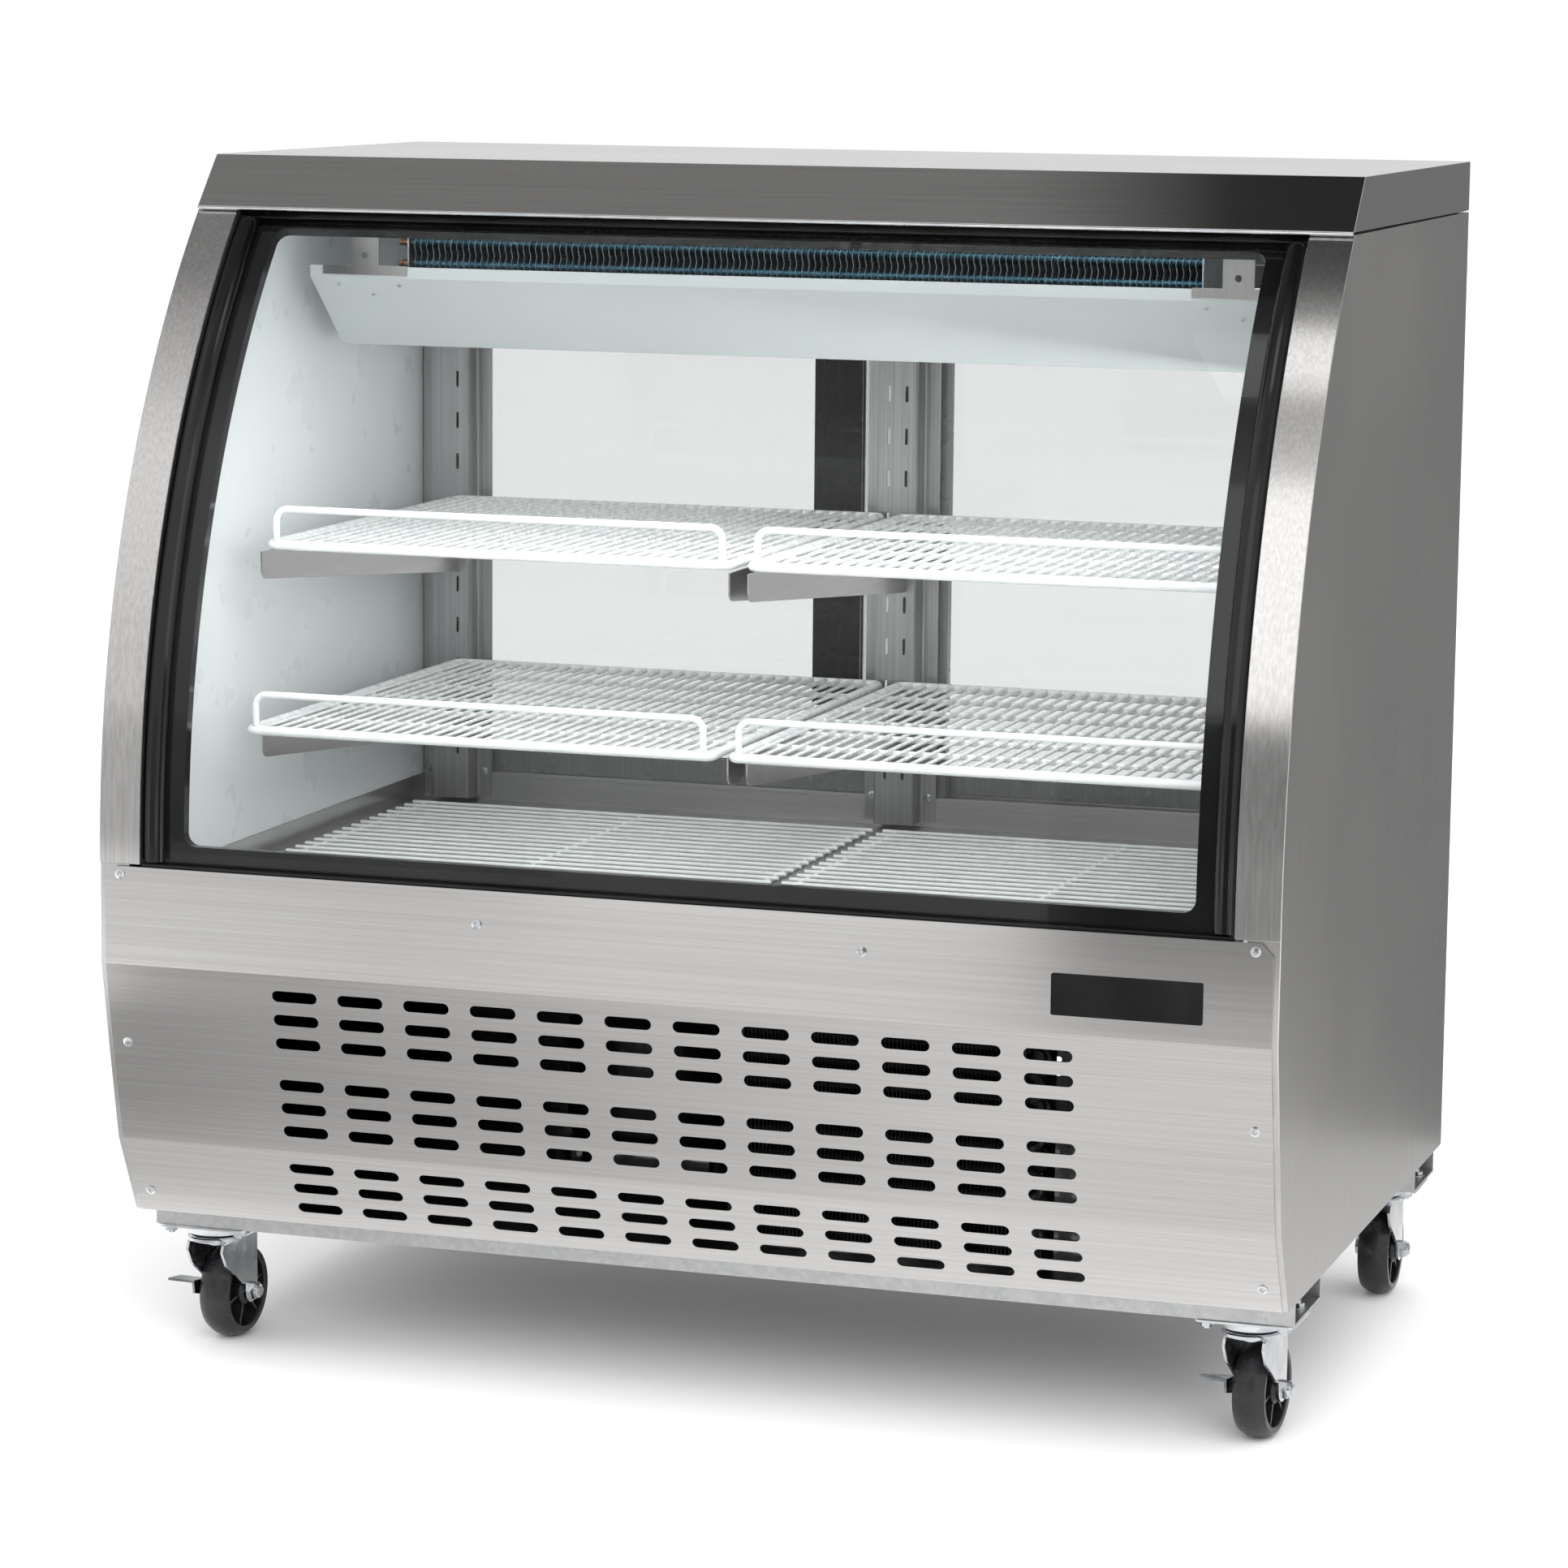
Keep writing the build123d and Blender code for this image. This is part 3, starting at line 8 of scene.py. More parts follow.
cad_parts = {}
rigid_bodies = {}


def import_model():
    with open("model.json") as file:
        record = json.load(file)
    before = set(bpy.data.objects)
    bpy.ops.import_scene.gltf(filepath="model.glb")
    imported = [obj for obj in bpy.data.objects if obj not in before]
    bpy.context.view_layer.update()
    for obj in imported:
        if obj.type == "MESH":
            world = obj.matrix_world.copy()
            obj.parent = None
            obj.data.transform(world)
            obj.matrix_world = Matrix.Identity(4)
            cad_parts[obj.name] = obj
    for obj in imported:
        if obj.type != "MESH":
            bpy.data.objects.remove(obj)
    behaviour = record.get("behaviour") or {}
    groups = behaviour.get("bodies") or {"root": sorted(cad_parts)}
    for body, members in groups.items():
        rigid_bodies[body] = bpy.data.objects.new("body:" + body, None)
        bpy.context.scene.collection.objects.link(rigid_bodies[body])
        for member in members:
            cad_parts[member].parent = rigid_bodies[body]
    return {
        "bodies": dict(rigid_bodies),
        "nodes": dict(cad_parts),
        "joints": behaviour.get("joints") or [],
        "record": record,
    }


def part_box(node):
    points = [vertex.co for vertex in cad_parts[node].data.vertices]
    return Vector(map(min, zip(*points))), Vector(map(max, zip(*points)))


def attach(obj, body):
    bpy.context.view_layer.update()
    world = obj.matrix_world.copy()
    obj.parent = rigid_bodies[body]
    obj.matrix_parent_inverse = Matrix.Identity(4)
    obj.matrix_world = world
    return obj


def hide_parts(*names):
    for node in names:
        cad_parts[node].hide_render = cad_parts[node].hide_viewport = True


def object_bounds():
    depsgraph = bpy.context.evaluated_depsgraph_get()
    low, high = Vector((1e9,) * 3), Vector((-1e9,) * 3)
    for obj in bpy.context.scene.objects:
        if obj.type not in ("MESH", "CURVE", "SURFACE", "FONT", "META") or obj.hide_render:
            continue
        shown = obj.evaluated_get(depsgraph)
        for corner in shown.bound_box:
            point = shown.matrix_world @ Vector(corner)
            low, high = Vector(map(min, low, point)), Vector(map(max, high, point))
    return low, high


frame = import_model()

CAD_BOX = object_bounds()
SCENE = bpy.context.scene

# ---------------------------------------------------------------- driving dimensions, m
ARC_Y, ARC_Z = 0.537, 0.527          # centre of the curved front, seen from the side
FACE_R = 0.9515                      # face of the steel pillars
GLASS_R = FACE_R - 0.010             # outer face of the outer pane
PANE = 0.005
PANE_GAP = 0.012
INNER_R = GLASS_R - PANE - PANE_GAP
GLASS_BACK_R = INNER_R - PANE
GLASS_X = 0.545
GLASS_ANGLES = (-0.7, 42.3)          # degrees about the arc centre
WINDOW_X = 0.515
WINDOW_Z = (0.546, 1.151)
WINDOW_CORNER = 0.013
SEAL_X = (0.533, 0.556)
SHEET = 0.0015
AIR = 0.0002                         # kept between the border and the panes it lies on

# ---------------------------------------------------------------- camera
CAMERA_SPOT = Vector((1.5806, -4.8754, 1.3794))
CAMERA_YAW = math.radians(18.172)
CAMERA_PITCH = math.radians(8.864)
CAMERA_ROLL = math.radians(0.541)
LENS = 115.1


def make_camera():
    """The camera at the picture's own angle, a long lens a few metres in front."""
    back = Vector((
        math.sin(CAMERA_YAW) * math.cos(CAMERA_PITCH),
        -math.cos(CAMERA_YAW) * math.cos(CAMERA_PITCH),
        math.sin(CAMERA_PITCH),
    ))
    right = (-back).cross(Vector((0, 0, 1))).normalized()
    up = right.cross(-back)
    c, s = math.cos(CAMERA_ROLL), math.sin(CAMERA_ROLL)
    across, upward = c * right + s * up, c * up - s * right
    camera = bpy.data.objects.new("camera", bpy.data.cameras.new("camera"))
    turned = Matrix((across, upward, back)).transposed().to_4x4()
    camera.matrix_world = Matrix.Translation(CAMERA_SPOT) @ turned
    camera.data.lens = LENS
    camera.data.sensor_width = 36
    camera.data.clip_end = 100
    SCENE.collection.objects.link(camera)
    SCENE.camera = camera


make_camera()


# ---------------------------------------------------------------- shader helpers
def fix(node, **values):
    """Set a node's sockets; an underscore stands for a space in their names."""
    for socket, value in values.items():
        node.inputs[socket.replace("_", " ")].default_value = value


class Look:
    """One node-based material, built up from noise on the piece's own coordinates."""

    def __init__(self, name, metallic=0.0, roughness=0.5, **constants):
        self.material = bpy.data.materials.new(name)
        self.name = name
        self.material.use_nodes = True
        self.tree = self.material.node_tree
        self.shader = self.tree.nodes["Principled BSDF"]
        fix(self.shader, Metallic=metallic, Roughness=roughness, **constants)
        self.place = self.node("ShaderNodeTexCoord").outputs["Object"]
        self.relief = None

    def node(self, kind, **settings):
        made = self.tree.nodes.new(kind)
        for key, value in settings.items():
            setattr(made, key, value)
        return made

    def join(self, out, socket):
        self.tree.links.new(out, socket)

    def texture(self, kind, scale, stretch):
        """Texture on the piece's coordinates; a large stretch makes it change faster that way."""
        mapping = self.node("ShaderNodeMapping")
        fix(mapping, Scale=stretch)
        self.join(self.place, mapping.inputs["Vector"])
        made = self.node(kind)
        fix(made, Scale=scale)
        self.join(mapping.outputs["Vector"], made.inputs["Vector"])
        return made

    def noise(self, scale, stretch=(1, 1, 1), detail=3.0):
        """Grey noise."""
        made = self.texture("ShaderNodeTexNoise", scale, stretch)
        fix(made, Detail=detail)
        return made.outputs["Fac"]

    def cells(self, scale, stretch=(1, 1, 1)):
        """Random grey for each cell of a Voronoi pattern."""
        made = self.texture("ShaderNodeTexVoronoi", scale, stretch)
        split = self.node("ShaderNodeSeparateColor")
        self.join(made.outputs["Color"], split.inputs["Color"])
        return split.outputs["Red"]

    def tint(self, fac, low, high, start=0.3, end=0.7):
        """The base colour runs from low to high as fac runs from start to end."""
        ramp = self.node("ShaderNodeValToRGB")
        for stop, place, colour in zip(ramp.color_ramp.elements, (start, end), (low, high)):
            stop.position, stop.color = place, (*colour, 1)
        fix(self.shader, Base_Color=(*high, 1))
        self.join(fac, ramp.inputs["Fac"])
        self.join(ramp.outputs["Color"], self.shader.inputs["Base Color"])
        return self

    def rough(self, fac, low, high, start=0.3, end=0.7):
        """The roughness runs from low to high as fac runs from start to end."""
        span = self.node("ShaderNodeMapRange")
        fix(span, From_Min=start, From_Max=end, To_Min=low, To_Max=high)
        self.join(fac, span.inputs["Value"])
        self.join(span.outputs["Result"], self.shader.inputs["Roughness"])
        return self

    def bump(self, fac, depth, strength=1.0):
        """Relief of that depth in metres, on top of any added before."""
        made = self.node("ShaderNodeBump")
        fix(made, Strength=strength, Distance=depth)
        self.join(fac, made.inputs["Height"])
        if self.relief is not None:
            self.join(self.relief, made.inputs["Normal"])
        self.relief = made.outputs["Normal"]
        self.join(self.relief, self.shader.inputs["Normal"])
        return self


def surface(name, tint, rough, metallic=0.0, **constants):
    """Look whose colour and roughness each follow noise of a scale, from low to high."""
    look = Look(name, metallic, **constants)
    for setter, (scale, low, high) in ((look.tint, tint), (look.rough, rough)):
        setter(look.noise(scale), low, high)
    return look


def brushed(name, grain, low, high, rough=(0.27, 0.34), spread=0.6):
    """Brushed steel whose fine lines run along the axis where grain is smallest."""
    look = Look(name, metallic=1.0, Anisotropic=spread)
    lines = look.noise(9.0, grain, detail=3.0)
    look.tint(lines, low, high, 0.35, 0.65)
    look.rough(look.noise(2.4, detail=2.0), *rough)
    look.bump(lines, 0.00002, 0.12)
    across = look.node("ShaderNodeTangent", direction_type="UV_MAP", uv_map="grain")
    look.join(across.outputs["Tangent"], look.shader.inputs["Tangent"])
    return look.material


ALONG_X = (0.25, 45.0, 45.0)
ALONG_Y = (45.0, 0.25, 45.0)
ALONG_Z = (45.0, 45.0, 0.25)


def clear_glass(name, tint, gloss):
    """Thin clear glass: it lets light straight through and mirrors a little of it."""
    look = Look(name)
    tree = look.tree
    tree.nodes.remove(look.shader)
    through = look.node("ShaderNodeBsdfTransparent")
    fix(through, Color=(*tint, 1))
    mirror = look.node("ShaderNodeBsdfGlossy")
    fix(mirror, Color=(gloss, gloss, gloss, 1))
    haze = look.node("ShaderNodeMapRange")
    fix(haze, To_Min=0.0, To_Max=0.03)
    look.join(look.noise(7.0, detail=2.0), haze.inputs["Value"])
    look.join(haze.outputs["Result"], mirror.inputs["Roughness"])
    edge = look.node("ShaderNodeFresnel")
    fix(edge, IOR=1.45)
    # only the face a ray comes in by mirrors, or slanting light would never get out of a pane
    inside = look.node("ShaderNodeNewGeometry")
    front = look.node("ShaderNodeMath", operation="SUBTRACT", use_clamp=True)
    look.join(edge.outputs["Fac"], front.inputs[0])
    look.join(inside.outputs["Backfacing"], front.inputs[1])
    mix = look.node("ShaderNodeMixShader")
    look.join(front.outputs["Value"], mix.inputs["Fac"])
    look.join(through.outputs["BSDF"], mix.inputs[1])
    look.join(mirror.outputs["BSDF"], mix.inputs[2])
    look.join(mix.outputs["Shader"], tree.nodes["Material Output"].inputs["Surface"])
    return look.material


def make_looks():
    """Every material, by the record's slot or by its own name."""
    dark, light, pale = (0.56, 0.55, 0.54), (0.61, 0.60, 0.59), (0.66, 0.65, 0.64)
    post_dark, post_light = (0.46, 0.455, 0.45), (0.58, 0.575, 0.57)
    looks = {
        "stainless": brushed("steel_along_x", ALONG_X, dark, light),
        "stainless_y": brushed("steel_along_y", ALONG_Y, dark, light),
        "stainless_z": brushed("steel_along_z", ALONG_Z, dark, light),
        "cap_steel": brushed("cap_steel", ALONG_X, dark, light, (0.10, 0.14), 0.2),
        "panel_steel": brushed("panel_steel", ALONG_X, dark, light, (0.19, 0.24), 0.5),
        "pillar_steel": brushed("pillar_steel", ALONG_Z, dark, pale, (0.21, 0.27), 0.8),
        "post_steel": brushed("post_steel", ALONG_Z, post_dark, post_light, (0.28, 0.4)),
        "clear_glass": clear_glass("clear_glass", (0.992, 0.996, 0.995), 0.35),
        "door_glass": clear_glass("door_glass", (0.785, 0.79, 0.79), 0.6),
    }

    def keep(look, slot=None):
        looks[slot or look.name] = look.material

    badge = surface("badge_face", (18.0, (0.006, 0.006, 0.006), (0.011, 0.011, 0.011)), (60.0, 0.34, 0.5),
                    Specular_IOR_Level=0.06)
    keep(badge.bump(badge.noise(700.0), 0.00002, 0.2))
    # Blue-teal colour on the coil's tubes is a painted highlight, standing for the blue reflection band seen
    # across them.
    keep(surface("coil_tube_painted_highlight", (60.0, (0.10, 0.26, 0.34), (0.22, 0.46, 0.58)), (90.0, 0.2, 0.35), 1.0))
    white = surface("liner_white", (2.0, (0.83, 0.865, 0.88), (0.87, 0.895, 0.905)), (14.0, 0.25, 0.36))
    keep(white.bump(white.noise(24.0, detail=1.0), 0.00003, 0.1))
    # The drip pan is the liner's white paint; this darker grey copy is painted shade for its face that slopes
    # down under the coil.
    shaded_tray = surface("pan_shaded_white", (3.0, (0.50, 0.53, 0.535), (0.55, 0.58, 0.585)), (14.0, 0.3, 0.42))
    keep(shaded_tray.bump(shaded_tray.noise(24.0, detail=1.0), 0.00003, 0.1))
    # Near-black foam surface: painted shade for the dark inside of the machine bay seen through the slots.
    foam = Look("foam_painted_shade", roughness=0.8)
    foam.tint(foam.noise(60.0), (0.035, 0.035, 0.036), (0.06, 0.06, 0.061))
    keep(foam.bump(foam.cells(500.0), 0.0004), "foam")
    keep(surface("black_trim", (8.0, (0.002, 0.002, 0.002), (0.006, 0.006, 0.006)), (30.0, 0.06, 0.14),
                 Specular_IOR_Level=0.4))
    plastic = surface("black_plastic", (12.0, (0.014, 0.014, 0.015), (0.028, 0.028, 0.03)),
                      (40.0, 0.38, 0.55))
    keep(plastic.bump(plastic.cells(2500.0), 0.00003, 0.4))
    wire = surface("white_wire", (25.0, (0.84, 0.86, 0.865), (0.92, 0.93, 0.93)), (60.0, 0.2, 0.36),
                   Coat_Weight=0.3)
    keep(wire.bump(wire.noise(350.0), 0.00006, 0.3))
    sheet = Look("galvanised", metallic=1.0)
    sheet.tint(sheet.cells(190.0), (0.55, 0.555, 0.56), (0.63, 0.635, 0.64), 0.0, 1.0)
    keep(sheet.rough(sheet.noise(50.0), 0.3, 0.5).bump(sheet.noise(180.0), 0.00008, 0.3))
    plated = surface("zinc_plate", (40.0, (0.62, 0.64, 0.67), (0.80, 0.81, 0.82)), (70.0, 0.14, 0.3), 1.0)
    keep(plated.bump(plated.noise(260.0), 0.00006, 0.25))
    pedal = surface("pedal_steel", (50.0, (0.13, 0.145, 0.16), (0.30, 0.33, 0.35)), (70.0, 0.2, 0.38), 1.0)
    keep(pedal.bump(pedal.noise(260.0), 0.00006, 0.25))
    keep(surface("aluminium_fin", (90.0, (0.30, 0.34, 0.37), (0.55, 0.59, 0.62)), (120.0, 0.25, 0.45), 1.0))
    keep(surface("copper", (55.0, (0.50, 0.23, 0.13), (0.78, 0.43, 0.28)), (80.0, 0.18, 0.42), 1.0))
    # Black enamel of the compressor. On the base pan it is painted shade for the dark bay behind the slots;
    # on the condenser it is partly its own coating and partly painted shade.
    enamel_and_bay_shade = surface("compressor_paint", (18.0, (0.008, 0.008, 0.009), (0.02, 0.02, 0.021)),
                     (45.0, 0.24, 0.4),
                     Coat_Weight=0.3)
    keep(enamel_and_bay_shade.bump(enamel_and_bay_shade.noise(320.0), 0.0001, 0.3))
    profile = Look("door_trim", metallic=0.3)
    profile.tint(profile.noise(9.0, ALONG_Z, 2.0), (0.19, 0.19, 0.19), (0.25, 0.25, 0.25))
    keep(profile.rough(profile.noise(20.0), 0.22, 0.34))
    tread = surface("caster_rubber", (30.0, (0.005, 0.005, 0.006), (0.014, 0.014, 0.015)), (90.0, 0.2, 0.42))
    keep(tread.bump(tread.noise(500.0), 0.00005, 0.3))
    keep(surface("lamp", (12.0, (0.86, 0.9, 0.93), (0.94, 0.96, 0.98)), (30.0, 0.3, 0.5),
                 Emission_Color=(0.93, 0.97, 1, 1), Emission_Strength=2.0))
    button = Look("button_grey", roughness=0.55)
    button.tint(button.noise(90.0), (0.26, 0.27, 0.28), (0.34, 0.35, 0.36))
    keep(button.bump(button.noise(900.0), 0.00004, 0.4))
    return looks


LOOKS = make_looks()
NODE_SLOT = {part["node"]: part["material_slot"] for part in frame["record"]["subparts"]}
NODE_BODY = {n: b for b, ns in frame["record"]["behaviour"]["bodies"].items() for n in ns}
JOINTS = {joint["name"]: joint for joint in frame["joints"]}


# ---------------------------------------------------------------- studio
FLOOR_HALF = 30.0
# brightness of the sky that steel reflects, by height above the horizon in degrees
SKY = [
    (-90, 1.0), (0, 0.85), (16, 0.85), (30, 1.0), (41, 1.05),
    (52, 0.55), (58, 0.44), (66, 0.28), (75, 0.2), (90, 0.15),
]
ON_FLOOR = 0.004                     # height of the cards laid over the floor
CEILING = 3.2
FLAG_Y = -1.8                        # the upright cards in front of the case

PANEL_LEFT_X, PANEL_RIGHT_X, PANEL_END_X = -1.0, 0.2, 1.3
# strips of floor that the panel's facets see, far to near: y limits, then the grey
# at the far left, far right, near right and near left
PANEL_STRIPS = [
    (-1.9, -1.0, (1.1, 1.1, 0.88, 0.25)),
    (-1.0, -0.7, (0.30, 1.1, 0.80, 0.26)),
    (-0.7, -0.42, (0.58, 1.05, 1.08, 0.66)),
]


def glow_card(name, corners, greys):
    """Panel that only reflections see, as a studio's flags and light boxes are."""
    mesh = bpy.data.meshes.new(name)
    mesh.from_pydata(corners, [], [(0, 1, 2, 3)])
    shade = mesh.color_attributes.new("grey", "FLOAT_COLOR", "POINT")
    for spot, grey in zip(shade.data, greys):
        spot.color = (grey, grey, grey, 1)
    look = bpy.data.materials.new(name)
    look.use_nodes = True
    nodes, links = look.node_tree.nodes, look.node_tree.links
    reader = nodes.new("ShaderNodeAttribute")
    reader.attribute_name = "grey"
    glow = nodes.new("ShaderNodeEmission")
    links.new(reader.outputs["Color"], glow.inputs["Color"])
    links.new(glow.outputs["Emission"], nodes["Material Output"].inputs["Surface"])
    mesh.materials.append(look)
    card = bpy.data.objects.new(name, mesh)
    card.visible_camera = card.visible_diffuse = card.visible_shadow = False
    card.visible_transmission = False
    SCENE.collection.objects.link(card)


def upright_card(name, x0, x1, y, z0, z1, greys):
    glow_card(name, [(x0, y, z0), (x1, y, z0), (x1, y, z1), (x0, y, z1)], greys)


def level_card(name, x0, x1, y0, y1, z, greys):
    glow_card(name, [(x0, y0, z), (x1, y0, z), (x1, y1, z), (x0, y1, z)], greys)


def soft_box(name, spot, target, size, energy):
    """Broad lamp that lights paint and plastic but isn't mirrored in the steel."""
    lamp = bpy.data.lights.new(name, "AREA")
    lamp.shape = "RECTANGLE"
    lamp.size, lamp.size_y = size
    lamp.energy = energy
    box = bpy.data.objects.new(name, lamp)
    box.location = spot
    box.rotation_euler = (Vector(target) - Vector(spot)).to_track_quat("-Z", "Y").to_euler()
    box.visible_glossy = False
    box.visible_camera = False
    SCENE.collection.objects.link(box)


def make_world():
    """Even white for paint; a sky that darkens overhead for what steel reflects."""
    world = bpy.data.worlds.new("studio")
    world.use_nodes = True
    tree = world.node_tree
    place = tree.nodes.new("ShaderNodeTexCoord")
    split = tree.nodes.new("ShaderNodeSeparateXYZ")
    height = tree.nodes.new("ShaderNodeMath")
    height.operation = "ARCSINE"
    span = tree.nodes.new("ShaderNodeMapRange")
    span.inputs["From Min"].default_value = -math.pi / 2
    span.inputs["From Max"].default_value = math.pi / 2
    ramp = tree.nodes.new("ShaderNodeValToRGB")
    for _ in SKY[2:]:
        ramp.color_ramp.elements.new(0.5)
    for element, (degrees, grey) in zip(ramp.color_ramp.elements, SKY):
        element.position = (degrees + 90) / 180
        element.color = (grey, grey, grey, 1)
    way = tree.nodes.new("ShaderNodeLightPath")
    pick = tree.nodes.new("ShaderNodeMix")
    pick.data_type = "RGBA"
    pick.inputs["A"].default_value = (1, 1, 1, 1)
    tree.links.new(place.outputs["Generated"], split.inputs["Vector"])
    tree.links.new(split.outputs["Z"], height.inputs[0])
    tree.links.new(height.outputs["Value"], span.inputs["Value"])
    tree.links.new(span.outputs["Result"], ramp.inputs["Fac"])
    tree.links.new(way.outputs["Is Glossy Ray"], pick.inputs["Factor"])
    tree.links.new(ramp.outputs["Color"], pick.inputs["B"])
    tree.links.new(pick.outputs["Result"], tree.nodes["Background"].inputs["Color"])
    SCENE.world = world


def make_floor():
    """Wide pale floor that runs out to white."""
    paint = Look("studio_floor", roughness=0.9)
    paint.tint(paint.noise(0.6), (0.85, 0.85, 0.85), (0.87, 0.87, 0.87))
    mesh = bpy.data.meshes.new("studio_floor")
    h = FLOOR_HALF
    mesh.from_pydata([(-h, -h, 0), (h, -h, 0), (h, h, 0), (-h, h, 0)], [], [(0, 1, 2, 3)])
    mesh.materials.append(paint.material)
    floor = bpy.data.objects.new("studio_floor", mesh)
    SCENE.collection.objects.link(floor)


def make_studio():
    """Soft light from above and in front, with flags and light boxes for the steel."""
    make_world()
    make_floor()
    sun = bpy.data.objects.new("soft_top_light", bpy.data.lights.new("soft_top_light", "SUN"))
    sun.data.energy = 2.2
    sun.data.angle = math.radians(70)
    sun.rotation_euler = (math.radians(26), math.radians(14), 0)
    sun.visible_glossy = False
    SCENE.collection.objects.link(sun)
    soft_box("front_fill", (0.6, -3.4, 1.5), (0, 0, 0.85), (3.0, 2.0), 45.0)
    soft_box("wall_fill", (2.2, -3.0, 0.9), (-0.55, 0, 0.8), (1.6, 1.6), 30.0)
    soft_box("case_lamp", (0, -0.22, 1.0), (-0.1, 0.02, 0.5), (1.0, 0.05), 1.6)

    # what the side wall sees
    upright_card("side_flag", 0.62, 3.2, 1.1, 0.0, 1.9, (0.21, 0.21, 0.2, 0.2))
    level_card("side_apron", 0.62, 1.5, -0.4, 1.09, ON_FLOOR, (1.0, 0.5, 0.35, 0.7))
    # what the slotted panel sees
    for i, (y0, y1, greys) in enumerate(PANEL_STRIPS):
        level_card(f"panel_strip_{i}", PANEL_LEFT_X, PANEL_RIGHT_X, y0, y1, ON_FLOOR, greys)
        far, near = greys[1:3]
        level_card(f"panel_strip_{i}_right", PANEL_RIGHT_X, PANEL_END_X, y0, y1, ON_FLOOR,
                   (far, far, near, near))
    upright_card("left_flag", -1.7, -0.65, FLAG_Y, 0.32, 0.9, (0.45, 0.45, 0.55, 0.55))
    level_card("far_floor", -3.2, 1.8, -5.0, -1.9, ON_FLOOR, (1.0, 0.86, 0.88, 0.98))
    # what the sloped fascia sees, darker to the right
    level_card("ceiling_flag", -3.0, -0.30, -1.05, 0.5, CEILING, 4 * (0.26,))
    level_card("ceiling_fade", -0.30, -0.02, -1.05, 0.5, CEILING, (0.26, 0.05, 0.05, 0.26))
    level_card("ceiling_dark", -0.02, 3.0, -0.85, 0.5, CEILING, (0.03, 0.0, 0.0, 0.03))
    # what the right-hand pillar sees: a dark flag below two light boxes
    upright_card("right_flag", 0.0, 0.75, FLAG_Y, 0.16, 1.12, (0.12, 0.12, 0.15, 0.15))
    upright_card("light_box_low", -0.25, 0.75, FLAG_Y, 1.16, 2.50, (1.6, 1.6, 1.75, 1.75))
    level_card("light_box_high", -0.1, 0.6, -1.62, -1.12, CEILING, 4 * (2.1,))
    # what the flat top sees
    upright_card("back_glow", -7.0, 7.0, 6.0, 0.0, 4.0, 4 * (0.78,))

    SCENE.view_settings.view_transform = "Standard"
    SCENE.view_settings.look = "None"


make_studio()


# ---------------------------------------------------------------- mesh helpers
def arc_point(radius, degrees, x):
    """Point at a radius and angle on the curved front."""
    turn = math.radians(degrees)
    return Vector((x, ARC_Y - radius * math.cos(turn), ARC_Z + radius * math.sin(turn)))


def steps(low, high, count):
    """count + 1 evenly spaced values from low to high."""
    return [low + (high - low) * i / count for i in range(count + 1)]


def side_on(x):
    """Frame whose x and y are the case's Y and Z, looking along X."""
    return Matrix(((0, 0, 1, x), (1, 0, 0, 0), (0, 1, 0, 0), (0, 0, 0, 1)))


def front_on(y):
    """Frame whose x and y are the case's X and Z, and whose z points to the rear."""
    return Matrix(((1, 0, 0, 0), (0, 0, 1, y), (0, 1, 0, 0), (0, 0, 0, 1)))


def flat_on(z):
    """Frame at a height, seen from above."""
    return Matrix.Translation((0, 0, z))


def circle(radius, count, middle=(0.0, 0.0)):
    """Corners of a regular polygon, or points round a circle."""
    turns = [2 * math.pi * i / count for i in range(count)]
    return [(middle[0] + radius * math.cos(t), middle[1] + radius * math.sin(t)) for t in turns]


def turned_rows(profile, frame, around):
    """A ring of points about the frame's z for each (radius, height) of the profile."""
    return [[frame @ Vector((a, b, height)) for a, b in circle(radius, around)] for radius, height in profile]


